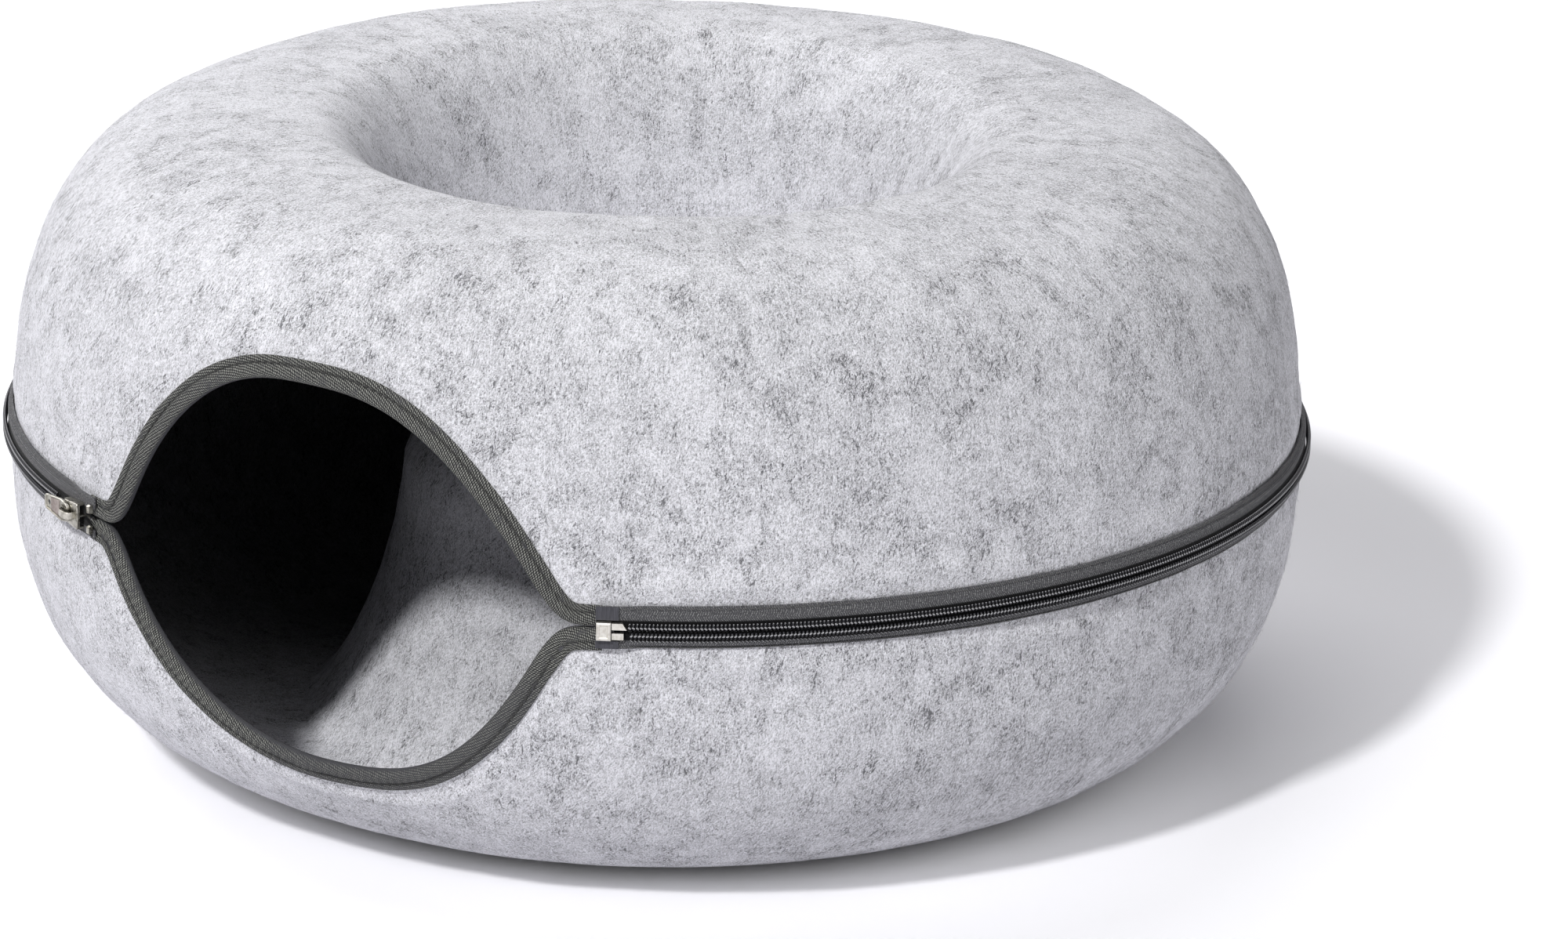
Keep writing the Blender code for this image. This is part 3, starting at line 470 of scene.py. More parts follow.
def binding_material():
    """Twill: light floats on a dark ground, a painted highlight where they catch light, plain where worn;
    painted shade in the sewn groove.
    """
    graph = material_graph("binding_twill")
    flat, along, across = graph.tape()
    # Painted highlight: how bright the twill's floats are drawn, by the edge's slope and in the corners.
    twill_glint = graph.node("Attribute", out=2, attribute_name="twill_glint")
    wear = graph.noise(graph.place(), 260.0, 4.0, 0.65)
    wobble = (graph.noise(flat, 420.0, 2.0) - 0.5) * 0.9

    def off_stripe(main, other, pitch, lean):
        """Distance from the middle of leaning stripes, in shares of their pitch."""
        lean = math.radians(lean)
        stripes = main * (math.cos(lean) / pitch) + other * (-math.sin(lean) / pitch)
        return graph.math("FRACT", stripes + wobble) - 0.5

    off_row = off_stripe(across, along, TWILL_ROW_PITCH, TWILL_ROW_LEAN) * 1.9
    off_float = off_stripe(along, across, TWILL_FLOAT_PITCH, TWILL_FLOAT_LEAN) * 2.0
    far = graph.math("SQRT", off_row * off_row + off_float * off_float)
    dot = 1.0 - graph.rise(far, 0.28, 1.02)
    # Painted highlight on the floats, cut back by the wear noise and past a band of the cloth.
    float_glint = twill_glint * graph.rise(wear, 0.22, 0.5) * (1.0 - graph.rise(across, 0.0056, 0.0072))
    groove = 1.0 - graph.rise(abs(across), 0.0001, 0.0007)
    ground = graph.mix(float_glint, graph.mix(wear, (0.062, 0.062, 0.069), (0.098, 0.098, 0.108)),
                       graph.mix(wear, (0.01, 0.01, 0.011), (0.026, 0.026, 0.028)))
    lit = graph.mix(graph.noise(flat, 900.0, 1.0), (0.2, 0.203, 0.19), (0.5, 0.505, 0.465))
    colour = graph.mix(dot * (float_glint * 0.92 + 0.05), ground, lit)
    # Painted shade: the sewn groove is drawn darker.
    colour = graph.mix(groove * 0.5, colour, (0.02, 0.02, 0.021))
    height = dot * (float_glint * 0.7 + 0.3) + wear * 0.3
    return graph.finish(colour, 0.85, height, 0.00022, 1.0, Specular_IOR_Level=0.12)


# Herringbone of the tape: spacing of its ribs and rows, rows in a zone, and a rib's lean in a row.
RIB_SPACING, ROW_SPACING, ROWS_IN_ZONE, RIB_LEAN = 0.00088, 0.00044, 4.0, 0.34


def tape_material():
    """Fine herringbone: light ribs, with painted highlights, lean one way in a few rows, then the other;
    painted shade, near black, by the coil.
    """
    graph = material_graph("zip_tape_weave")
    flat, along, across = graph.tape()
    wear = graph.noise(graph.place(), 320.0, 4.0, 0.65)
    rows = across / ROW_SPACING
    ribs = along / RIB_SPACING + graph.math("PINGPONG", rows, ROWS_IN_ZONE) * RIB_LEAN
    ribs = graph.math("FRACT", ribs + (graph.noise(flat, 700.0, 2.0) - 0.5))
    rib = graph.rise(abs(ribs - 0.5), 0.34, 0.02)
    row = graph.rise(abs(graph.math("FRACT", rows) - 0.5), 0.46, 0.1)
    # Painted highlight: the light ribs sparkle at random.
    rib_glint = graph.rise(graph.noise(flat, 1300.0, 2.0, 0.7), 0.36, 0.64)
    dash = rib * (row * 0.88 + 0.12)
    base = graph.mix(wear, (0.052, 0.052, 0.056), (0.098, 0.098, 0.106))
    lit = graph.mix(rib_glint, (0.09, 0.09, 0.094), (0.52, 0.52, 0.52))
    colour = graph.mix(dash * 0.9, base, lit)
    # Painted shade: the tape is drawn near black where it runs in beside the coil.
    colour = graph.mix(graph.rise(across, 0.0042, 0.0035), colour, (0.006, 0.006, 0.0065))
    return graph.finish(colour, 0.8, dash + wear * 0.35, 0.00016, 0.9, Sheen_Weight=0.12,
                        Sheen_Roughness=0.4, Specular_IOR_Level=0.1)


def film_material():
    graph = material_graph("end_film")
    place = graph.place()
    weave = graph.noise(graph.stretch(place, (1.0, 1.0, 0.1)), 1400.0, 2.0)
    streak = graph.noise(graph.stretch(place, (1.0, 1.0, 0.06)), 2600.0, 2.0, 0.6)
    colour = graph.mix(graph.rise(streak, 0.3, 0.7), (0.05, 0.05, 0.058), (0.086, 0.086, 0.1))
    return graph.finish(colour, 0.55, weave + streak, 0.00005, 0.5, Specular_IOR_Level=0.2)


def coil_material():
    graph = material_graph("coil_nylon")
    scuff = graph.noise(graph.place(), 900.0, 3.0, 0.6)
    colour = graph.mix(scuff, (0.007, 0.007, 0.009), (0.02, 0.02, 0.025))
    return graph.finish(colour, scuff * 0.2 + 0.22, scuff, 0.00003, 0.4, Specular_IOR_Level=0.42)


def thread_material(name, dark, light):
    graph = material_graph(name)
    twist = graph.noise(graph.place(), 1900.0, 2.0, 0.6, 0.5)
    colour = graph.mix(twist, dark, light)
    return graph.finish(colour, 0.7, twist, 0.00006, 0.7, Sheen_Weight=0.1, Specular_IOR_Level=0.35)


def metal_material(name, dull, bright, roughness):
    """Worn metal with thin crooked scratches."""
    graph = material_graph(name)
    place = graph.place()
    wear = graph.noise(place, 420.0, 5.0, 0.65)
    crooked = graph.noise(graph.moved(graph.stretch(place, (1.0, 1.0, 0.3)), 0.7), 700.0, 1.0, 0.5, 1.1)
    scratch = 1.0 - graph.rise(abs(crooked - 0.5), 0.0, 0.02)
    colour = graph.mix(graph.rise(wear, 0.32, 0.6), dull, bright)
    height = wear * 0.5 + scratch * -0.3
    return graph.finish(colour, wear * 0.28 + (roughness - 0.14), height, 0.00004, 0.5, Metallic=1.0)


def fastener_material():
    graph = material_graph("hook_and_loop")
    pile = graph.node("TexVoronoi", {"Vector": graph.place(), "Scale": 900.0})
    colour = graph.mix(graph.rise(pile, 0.1, 0.6), (0.05, 0.05, 0.052), (0.014, 0.014, 0.015))
    return graph.finish(colour, 0.9, pile, 0.0005, 0.9, Sheen_Weight=0.2)


FELT = felt_material()
FUZZ = fuzz_material()
BINDING = binding_material()
TAPE = tape_material()
FILM = film_material()
COIL = coil_material()
NICKEL = metal_material("nickel_plate", (0.2, 0.192, 0.162), (0.5, 0.485, 0.43), 0.3)
BOX_METAL = metal_material("box_plate", (0.6, 0.57, 0.5), (0.8, 0.78, 0.72), 0.34)
CROWN_METAL = metal_material("crown_plate", (0.36, 0.34, 0.29), (0.66, 0.635, 0.57), 0.33)
PANEL = metal_material("tab_panel", (0.3, 0.255, 0.235), (0.43, 0.38, 0.355), 0.5)
STITCH = thread_material("binding_thread", (0.02, 0.02, 0.02), (0.06, 0.06, 0.058))
TAPE_STITCH = thread_material("tape_thread", (0.05, 0.05, 0.05), (0.17, 0.17, 0.165))
COIL_THREAD = thread_material("coil_thread", (0.17, 0.17, 0.175), (0.5, 0.5, 0.52))
FASTENER = fastener_material()


def place_object(name, data):
    """A new object in the scene."""
    made = bpy.data.objects.new(name, data)
    bpy.context.scene.collection.objects.link(made)
    return made


def make_piece(name, points, faces, material, body, uv=None, wrap=None, shares=None, smooth=True):
    """A mesh that rides on a body, with its faces turned outwards."""
    mesh = bpy.data.meshes.new(name)
    mesh.from_pydata(np.asarray(points, float).reshape(-1, 3).tolist(), [], faces)
    if uv is not None:
        layer = mesh.uv_layers.new(name="tape")
        corners = np.zeros(len(mesh.loops), np.int32)
        mesh.loops.foreach_get("vertex_index", corners)
        layer.uv.foreach_set("vector", np.asarray(uv, np.float32).reshape(-1, 2)[corners].ravel())
    if wrap is not None:
        made = mesh.attributes.new("wrap", "FLOAT_VECTOR", "POINT")
        made.data.foreach_set("vector", np.asarray(wrap, np.float32).ravel())
    for key, share in (shares or {}).items():
        made = mesh.attributes.new(key, "FLOAT", "POINT")
        made.data.foreach_set("value", np.asarray(share, np.float32).ravel())
    work = bmesh.new()
    work.from_mesh(mesh)
    bmesh.ops.recalc_face_normals(work, faces=work.faces)
    work.to_mesh(mesh)
    work.free()
    mesh.materials.append(material)
    if smooth:
        mesh.shade_smooth()
    piece = place_object(name, mesh)
    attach(piece, body)
    return piece


def grid_faces(rows, columns, start=0, round_rows=False, round_columns=False):
    """Quads of a grid whose vertices are numbered row by row."""
    row = np.arange(rows if round_rows else rows - 1)[:, None]
    column = np.arange(columns if round_columns else columns - 1)[None, :]
    next_row, next_column = (row + 1) % rows, (column + 1) % columns
    corners = [row * columns + column, row * columns + next_column,
               next_row * columns + next_column, next_row * columns + column]
    return (np.stack([corner.ravel() for corner in corners], 1) + start).tolist()


def loft_faces(stations, ring):
    """A tube of rings with flat ends."""
    ends = [list(range(start, start + ring)) for start in (0, (stations - 1) * ring)]
    return grid_faces(stations, ring, round_columns=True) + ends


def strip_loft(rows):
    """Points of equal rows and the faces of the closed tube that they make."""
    points = np.array(rows)
    return points.reshape(-1, 3), loft_faces(len(rows), points.shape[1])


def unit(vectors):
    """The vectors, one to a row, each with the length 1."""
    return vectors / np.linalg.norm(vectors, axis=1)[:, None]


def facing(vectors, ways):
    """The vectors, each turned round where it points against its way."""
    return vectors * np.where((ways * vectors).sum(1) < 0, -1.0, 1.0)[:, None]


MOUTH_COLUMNS, SWEEP_STEP = 200, 0.62
WALL_ROWS, CREST_ROWS, WELL_ROWS, FILLET_ROWS, FLOOR_ROWS = 70, 8, 50, 9, 9
ROW_EASE, INNER_EVERY = 1.15, 2
# Unevenness of the felt: height, size and seed of each kind of lump.
FELT_LUMPS = ((0.0011, 0.075, 3), (0.00045, 0.024, 5), (0.00022, 0.0085, 7), (0.00012, 0.0042, 9))
INNER_LUMPS = ((0.0003, 0.011, 13),)
# Where it starts and over what run it grows, from the cut edge, the sole, the well's middle and the seam.
FROM_EDGE, FROM_SOLE, FROM_MIDDLE, FROM_SEAM = (0.011, 0.012), (0.0015, 0.02), (0.0, 0.05), (0.0, 0.02)
# The felt swells beside the binding: height, place and width.
SWELL, SWELL_BESIDE = 0.0008, (0.0155, 0.0035)
# Its strands follow a tube of this radius; the inner skin and the lower half lie further along it.
WRAP_RADIUS, WRAP_INNER, WRAP_HALF = 0.2, 0.4, {UPPER: 0.0, LOWER: 0.9}
# Painted shade: inside the tunnel the felt's colour darkens with the distance from the lit place behind the
# mouth.
LIT_PLACE = np.array([-0.02, -0.12, 0.04])
SHADE, SHADE_FROM = 0.9, (0.11, 0.09)


def uneven(points, lumps):
    return sum(height * lump(points, size, seed) for height, size, seed in lumps)


def felt_columns(side):
    """Angles round the half, and the height of its cut edge over the seam at each."""
    mouth = mouth_angles(side, MOUTH_COLUMNS)
    lifts = np.interp(mouth, *MOUTH[side])
    first, last = mouth[-1] + SLIT_FADE, unwound(mouth[0]) - SLIT_FADE
    sweep = np.linspace(first, last, int(round((last - first) / SWEEP_STEP)) + 1)
    return np.concatenate([mouth, sweep]), np.concatenate([lifts, np.full(len(sweep), HALF_GAP)])


def felt_rows(profile, start):
    """Distances along the profile, one line of them for each start at the cut edge."""
    share = np.linspace(0, 1, WALL_ROWS)[None, :] ** ROW_EASE
    wall = start[:, None] + (profile.flat_start - start)[:, None] * share
    stops = (profile.flat_start, profile.flat_end, profile.foot, profile.bend_end, profile.along[-1])
    counts = (CREST_ROWS, WELL_ROWS, FILLET_ROWS, FLOOR_ROWS)
    rest = [np.linspace(low, high, count)[1:] for low, high, count in zip(stops, stops[1:], counts)]
    rest = np.concatenate(rest)[:-1]
    return np.concatenate([wall, np.broadcast_to(rest, (len(start), len(rest)))], 1)


def edge_distance(outer):
    """Distance of every point from the cut edge."""
    edge = kdtree.KDTree(len(outer))
    for index, point in enumerate(outer[:, 0]):
        edge.insert(point, index)
    edge.balance()
    return np.array([edge.find(point)[2] for point in outer.reshape(-1, 3)]).reshape(outer.shape[:2])


def felt_faces(columns, rows, inner_rows):
    """Outer and inner skin, the rim between them, and the fans round their middle points."""
    inner = columns * rows
    middle = inner + columns * inner_rows
    here = np.arange(columns)
    there = (here + 1) % columns
    rim = (here * rows, there * rows, inner + there * inner_rows, inner + here * inner_rows)
    outer_fan = (here * rows + rows - 1, there * rows + rows - 1, np.full(columns, middle))
    inner_fan = (inner + there * inner_rows + inner_rows - 1, inner + here * inner_rows + inner_rows - 1,
                 np.full(columns, middle + 1))
    faces = grid_faces(columns, rows, 0, round_rows=True)
    faces += grid_faces(columns, inner_rows, inner, round_rows=True)
    for corners in (rim, outer_fan, inner_fan):
        faces += np.stack(corners, 1).tolist()
    return faces


def build_felt(side):
    """One moulded half, with soft unevenness that fades out at its edges and its sole."""
    profile = PROFILE[side]
    angles, lifts = felt_columns(side)
    along = felt_rows(profile, profile.distance_at(lifts))
    turned = np.broadcast_to(angles[:, None], along.shape)
    end = along[-1, -1]
    outer = profile.points(turned, along, 0.0)
    reach = edge_distance(outer)
    settle = ramp(end - along, *FROM_MIDDLE)
    if side == LOWER:
        settle = settle * ramp(outer[..., 2], *FROM_SOLE)
    free = ramp(reach, *FROM_EDGE)
    swell = SWELL * bump(reach, *SWELL_BESIDE) * settle
    outer = profile.points(turned, along, uneven(outer, FELT_LUMPS) * (free * settle) + swell)
    inner_along, inner_turned = along[:, ::INNER_EVERY], turned[:, ::INNER_EVERY]
    inner = profile.points(inner_turned, inner_along, -FELT_THICKNESS)
    settle = ramp(inner_along, *FROM_SEAM) * ramp(end - inner_along, *FROM_MIDDLE)
    wave = uneven(inner, INNER_LUMPS) * settle * free[:, ::INNER_EVERY]
    inner = profile.points(inner_turned, inner_along, -FELT_THICKNESS + wave)
    floor = SEAM_HEIGHT + side * FLOOR_LIFT
    middle = on_ring(np.zeros(2), np.zeros(2), np.array([floor, floor - side * FELT_THICKNESS]))
    points = np.concatenate([outer.reshape(-1, 3), inner.reshape(-1, 3), middle])
    turns = np.radians(np.concatenate([turned.ravel(), inner_turned.ravel(), [0, 0]]))
    runs = np.concatenate([along.ravel(), inner_along.ravel(), [end, end]])
    layer = np.concatenate([np.zeros(turned.size), np.full(inner_turned.size, WRAP_INNER), [0, WRAP_INNER]])
    wrap = np.stack([WRAP_RADIUS * np.sin(turns), -WRAP_RADIUS * np.cos(turns),
                     runs + layer + WRAP_HALF[side]], 1)
    # Painted shade of the inner skin, growing with the distance from the lit place.
    shade = SHADE * ramp(np.linalg.norm(inner - LIT_PLACE, axis=2), *SHADE_FROM)
    shaded = np.concatenate([np.zeros(turned.size), shade.ravel(), [0, SHADE]])
    faces = felt_faces(len(angles), along.shape[1], inner_along.shape[1])
    piece = make_piece(SIDES[side] + "_felt", points, faces, FELT, BODIES[side], wrap=wrap,
                       shares={"shaded": shaded})
    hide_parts(SIDES[side] + "_shell")
    return outer, reach


FIBRES, FIBRE_RADIUS, FIBRE_ROOT, FUZZ_SEED = 15000, 0.000035, 0.00012, 40
FIBRE_LENGTH, FIBRE_STAND, FIBRE_BEND, FIBRE_ARCH = (0.0012, 0.0036), (0.1, 0.55), (-0.5, 0.5), 1.7
# Rings of a fibre: share of its length, share of its radius; and the places round a ring.
FIBRE_RINGS, FIBRE_TURNS = ((0.0, 1.0), (0.4, 0.9), (0.75, 0.7), (1.0, 0.3)), (0.0, 2.094, 4.189)
# No fibre stands this near the cut edge or the ground.
BARE_EDGE, BARE_SOLE = 0.013, 0.002


def fibre_faces():
    """Triangles of one fibre, a three-sided tube with closed ends."""
    faces = []
    for level in range(len(FIBRE_RINGS) - 1):
        for side in range(3):
            first, second = level * 3 + side, level * 3 + (side + 1) % 3
            faces += [(first, second, second + 3), (first, second + 3, first + 3)]
    return np.array(faces + [(0, 2, 1), (9, 10, 11)])


def build_fuzz(side, outer, reach, seed):
    """Short loose fibres that stand off the felt; each one is a closed, tapered, bent rod."""
    draw = np.random.default_rng(seed)
    across = np.linalg.norm(np.roll(outer, -1, 0) - outer, axis=2)[:, :-1]
    down = np.linalg.norm(outer[:, 1:] - outer[:, :-1], axis=2)
    weight = across * down * (reach[:, :-1] > BARE_EDGE) * (outer[:, :-1, 2] > BARE_SOLE)
    chosen = draw.choice(weight.size, FIBRES, p=(weight / weight.sum()).ravel())
    column, row = np.unravel_index(chosen, weight.shape)
    along_u = outer[(column + 1) % len(outer), row] - outer[column, row]
    along_v = outer[column, row + 1] - outer[column, row]
    root = outer[column, row] + along_u * draw.random((FIBRES, 1)) + along_v * draw.random((FIBRES, 1))
    centre = np.array([0.0, -SETBACK, SEAM_HEIGHT])
    core = unit((root - centre) * (1, 1, 0)) * CREST_RADIUS + centre
    normal = facing(unit(np.cross(along_u, along_v)), root - core)
    spin = draw.normal(size=(FIBRES, 3))
    flat = unit(spin - normal * (spin * normal).sum(1)[:, None])
    length, stand, bend = (draw.uniform(*limits, FIBRES)[:, None]
                           for limits in (FIBRE_LENGTH, FIBRE_STAND, FIBRE_BEND))
    side_way = np.cross(normal, flat)
    rings = []
    for share, size in FIBRE_RINGS:
        arch = normal * stand * (FIBRE_ARCH * share - share * share)
        line = root - normal * FIBRE_ROOT + length * (flat * share + arch + side_way * bend * share * share)
        for turn in FIBRE_TURNS:
            off = side_way * math.cos(turn) + normal * math.sin(turn)
            rings.append(line + FIBRE_RADIUS * size * off)
    points = np.stack(rings, 1)
    faces = fibre_faces()[None] + (np.arange(FIBRES) * len(rings))[:, None, None]
    faces = faces.reshape(-1, 3).tolist()
    make_piece(SIDES[side] + "_felt_fuzz", points, faces, FUZZ, BODIES[side])


EDGE_SEGMENTS = 272


class MouthPath:
    """The felt's cut edge round one side of the mouth, with the direction away from the mouth."""

    def __init__(self, side, segments):
        self.profile = PROFILE[side]
        self.angles = mouth_angles(side, segments)
        along = self.profile.distance_at(np.interp(self.angles, *MOUTH[side]))
        fine = mouth_angles(side, EDGE_SEGMENTS)
        run = self.profile.distance_at(np.interp(fine, *MOUTH[side]))
        travel_x = np.gradient(np.radians(fine)) * np.interp(run, self.profile.along, self.profile.radius)
        travel_y = np.gradient(run)
        size = np.hypot(travel_x, travel_y)
        self.away_x = np.interp(self.angles, fine, -travel_y / size)
        self.away_y = np.interp(self.angles, fine, travel_x / size)
        self.line = np.stack([self.angles, along, self.away_x, self.away_y])
        edge = self.profile.points(self.angles, along, 0.0)
        self.travel = running(np.linalg.norm(np.diff(edge, axis=0), axis=1))

    def moved(self, line, depth, offset):
        """Points a depth into the felt from places of the edge, moved off the outer face."""
        angle, along, away_x, away_y = line
        radius = np.interp(along, self.profile.along, self.profile.radius)
        angle = angle + arc_angle(away_x * depth, radius)
        return self.profile.points(angle, along + away_y * depth, offset)

    def rows(self, depth, offset):
        """Such points, one row of them at each station."""
        return self.moved(self.line[:, :, None], depth, offset)

    def at(self, distance, depth, offset):
        """Such points at distances along the edge."""
        line = [np.interp(distance, self.travel, values) for values in self.line]
        return self.moved(line, depth, offset)


# Cross-section of the folded binding in millimetres: depth from the cut edge, offset.
BINDING_OUTER = ((7.5, 0.3), (7.6, 0.62), (7.4, 0.92), (7.0, 1.06), (6.4, 1.12), (5.8, 1.1), (5.3, 0.98),
                 (4.9, 0.78), (4.5, 0.62), (4.1, 0.78), (3.7, 1.02), (3.1, 1.2), (2.4, 1.26), (1.7, 1.22),
                 (1.0, 1.08), (0.4, 0.84), (-0.1, 0.5), (-0.5, 0.02), (-0.78, -0.6), (-0.88, -1.3),
                 (-0.8, -2.0), (-0.55, -2.65), (-0.15, -3.2), (0.4, -3.6), (1.2, -3.9), (2.4, -4.05),
                 (3.8, -4.0), (4.5, -3.75), (5.2, -4.0), (6.4, -4.05), (7.3, -3.9), (7.5, -3.35))
BINDING_INNER = ((5.0, -3.32), (1.5, -3.32), (-0.2, -3.02), (-0.3, -1.5), (-0.2, 0.1), (1.5, 0.3),
                 (5.0, 0.3))
BINDING_STATIONS, BINDING_STEP, BINDING_OUTSIDE, BINDING_SEED = 460, 0.34, 0.62, 21
# Ribs of the cloth, then height and size of its waves and ripples and of its free edge's wander.
RIB_PITCH, RIB_RISE, WAVE_STRETCH = 0.00098, 0.00007, (1, 1, 0.4)
WAVE, RIPPLE, WANDER, WANDER_DEPTH = (0.00022, 0.011), (0.00012, 0.004), (0.00016, 0.013), 0.0065
# The cloth moves freely between the fold and the free edge, and each stitch pulls it down.
FROM_FOLD, FREE_EDGE, FREE_RUN = (0.0, 0.003), 0.0077, 0.0015
SCALLOP, SCALLOP_WIDTH = 0.0001, 0.0009
# Pleats of the binding in the mouth's corners, and the angles where they start and end.
PLEAT_RUN, PLEAT_LEAN, PLEAT_DEPTH, PLEAT_LIFT = 0.0021, 300.0, 0.0007, 0.4
PLEAT_WANDER, PLEAT_WANDER_SIZE = 1.3, 0.02
PLEAT_START, PLEAT_END, PLEAT_END_RUN = (18.5, 3.0), 25.6, 1.5
# Painted highlight: the twill's floats are drawn bright in the corners and where the edge slopes one way;
# elsewhere less.
GLINT_START, GLINT_RUN, GLINT_LEAST = {UPPER: -0.75, LOWER: 0.1}, 0.4, 0.5
CORNER_START = (20.5, 2.5)
# Stitches of the binding; the row ends at this angle on both sides.
STITCH_PITCH, STITCH_LENGTH, STITCH_RADIUS = 0.0029, 0.0023, 0.00026
STITCH_RISE, STITCH_TILT, STITCH_END, STITCH_SEGMENTS = 0.0009, 0.09, 22.6, 2000


def resampled(outline, step):
    """The outline with extra points, so that no side is longer than the step."""
    points = [outline[0]]
    for start, end in zip(outline, outline[1:]):
        count = max(1, int(math.ceil(math.dist(start, end) / step)))
        way = np.array(end) - start
        points += [tuple(np.array(start) + way * number / count) for number in range(1, count + 1)]
    return points


def binding_glint(side, path):
    """Share of painted highlight on the twill's floats, along the edge."""
    slope = side * path.away_x * path.away_y
    corner = ramp(np.abs(path.angles), *CORNER_START)
    twill_glint = np.maximum(ramp(slope, GLINT_START[side], GLINT_RUN), corner)
    return GLINT_LEAST + (1 - GLINT_LEAST) * twill_glint


def build_binding(side):
    """Cloth folded round the cut edge, with waves, a pulled-in row of stitches and pleats."""
    path = MouthPath(side, BINDING_STATIONS)
    face = np.array(resampled(BINDING_OUTER, BINDING_STEP)) / 1000
    ring = np.concatenate([face, np.array(BINDING_INNER) / 1000])
    girth = running(np.linalg.norm(np.diff(ring, axis=0), axis=1))
    travel = path.travel[:, None]
    depth, offset, girths, travels = (
        values.copy() for values in np.broadcast_arrays(ring[:, 0], ring[:, 1], girth, travel))
    outside = np.arange(len(ring)) < len(face) * BINDING_OUTSIDE
    seed = BINDING_SEED + side
    at = np.stack([travels, 0 * depth, girths], -1)
    body = ramp(ring[:, 0], *FROM_FOLD) * ramp(FREE_EDGE - ring[:, 0], 0.0, FREE_RUN) * outside
    offset += RIB_RISE * np.cos(2 * np.pi * girth / RIB_PITCH) * outside
    soft = WAVE[0] * lump(at * WAVE_STRETCH, WAVE[1], seed) + RIPPLE[0] * lump(at, RIPPLE[1], seed + 3)
    offset += soft * body
    offset -= (SCALLOP * np.abs(np.cos(np.pi * travel / STITCH_PITCH))
               * bump(ring[:, 0], BINDING_THREAD_DEPTH, SCALLOP_WIDTH) * outside)
    aside = np.abs(path.angles)
    tight = ramp(aside, *PLEAT_START) * ramp(PLEAT_END - aside, 0.0, PLEAT_END_RUN)
    lean = travel / PLEAT_RUN + PLEAT_LEAN * ring[:, 0]
    lean = lean + PLEAT_WANDER * lump(at, PLEAT_WANDER_SIZE, seed + 5)
    offset += PLEAT_DEPTH * (PLEAT_LIFT - np.abs(np.sin(lean))) * tight[:, None] * body
    shift = WANDER[0] * lump_along(path.travel, WANDER[1], seed + 7)
    depth += shift[:, None] * (ring[:, 0] > WANDER_DEPTH)
    half = len(face) // 2
    groove = np.interp(-BINDING_THREAD_DEPTH, -ring[:half, 0], girth[:half])
    uv = np.stack([side * travels, girths - groove], -1)
    # Painted highlight share of the twill, one value for each station.
    twill_glint = binding_glint(side, path)[:, None] + 0 * depth
    piece = make_piece(SIDES[side] + "_binding", path.rows(depth, offset),
                       loft_faces(len(path.angles), len(ring)), BINDING, BODIES[side],
                       uv=uv, shares={"twill_glint": twill_glint})
    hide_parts(SIDES[side] + "_mouth_binding")


def spindle(sides=6, rings=5, end_radius=0.35):
    """A closed round-ended rod along the first axis, from -1 to 1."""
    rows = []
    for share in np.linspace(-1, 1, rings):
        radius = end_radius if abs(share) == 1 else 1.0
        round_points = [(radius * math.cos(turn), radius * math.sin(turn)) for turn in turns_round(sides)]
        rows.append([(share, *point) for point in round_points])
    return strip_loft(rows)


# How far off a stitch the way up is taken.
PROBE = 0.001


def build_row(name, at, places, step, rise, size, tilt, material, body):
    """A row of stitches on the line that the function gives; size: half length, width and thickness."""
    centres = at(places, rise)
    along = unit(at(places + step, rise) - at(places - step, rise))
    up = at(places, rise + PROBE) - centres
    up = unit(up - along * (up * along).sum(1)[:, None])
    turned = unit(along + np.cross(up, along) * tilt)
    axes = np.stack([turned * size[0], np.cross(up, turned) * size[1], up * size[2]], 1)
    shape, faces = spindle()
    points = centres[:, None, :] + np.einsum("pk,nkc->npc", shape, axes)
    starts = range(0, len(shape) * len(centres), len(shape))
    copies = [[start + index for index in face] for start in starts for face in faces]
    return make_piece(name, points, copies, material, body)


def build_binding_stitches(side):
    path = MouthPath(side, STITCH_SEGMENTS)
    low, high = np.interp((-STITCH_END, STITCH_END), path.angles, path.travel)

    def at(distance, offset):
        return path.at(distance, BINDING_THREAD_DEPTH, offset)

    piece = build_row(SIDES[side] + "_binding_stitches", at, np.arange(low, high, STITCH_PITCH),
                      STITCH_LENGTH / 2, STITCH_RISE, (STITCH_LENGTH / 2, STITCH_RADIUS, STITCH_RADIUS),
                      STITCH_TILT, STITCH, BODIES[side])
    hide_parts(SIDES[side] + "_binding_stitching")


def seam_points(side, angle, lift, offset):
    """Points off the wall's outer face beside the seam, at heights from the seam plane."""
    return on_ring(angle, PROFILE[side].radius[0] + offset, SEAM_HEIGHT + side * lift)


def lap_share(angle):
    """1 where the tape runs over the binding, 0 where it lies on the felt."""
    right = 1 - ramp(angle, LAP_START["right"], LAP_END["right"] - LAP_START["right"])
    left = ramp(angle, unwound(LAP_END["left"]), LAP_START["left"] - LAP_END["left"])
    return np.maximum(right, left)


def spread(side, angle):
    """How far the two sides of the chain part on their way to the mouth's left corner."""
    start, end = unwound(SPREAD_START), unwound(TAPE_END["left"])
    return SPREAD_RISE[side] * smoothstep((angle - start) / (end - start) / SPREAD_EASE)


def tape_sewn_back(angle):
    """Offset of the sewn tape's back: over the binding it stands further off than on the felt."""
    return GAP + (TAPE_BACK - GAP) * lap_share(angle)


# The tape's edge in the slider's slot, the length of a station, and the steps between two knots.
SLOT_EDGE, TAPE_STATION, TAPE_STEPS = 0.00036, 0.0011, 4
# Height, size and seed of the selvage's wander; a cord is raised along it, and the thread pulls a dent.
SELVAGE_WANDER, SELVAGE_SIZE, SELVAGE_SEED = 0.00022, 0.012, 31
CORD_RISE, CORD_STEPS, DENT, DENT_WIDTH = 0.00018, 3, 0.00018, 0.0005
# Stitches of the tape.
TAPE_STITCH_PITCH, TAPE_STITCH_LENGTH, TAPE_STITCH_RADIUS = 0.0027, 0.0021, 0.0002
TAPE_STITCH_INSET, TAPE_STITCH_RISE, TAPE_STITCH_TILT = 0.002, 0.0001, 0.08


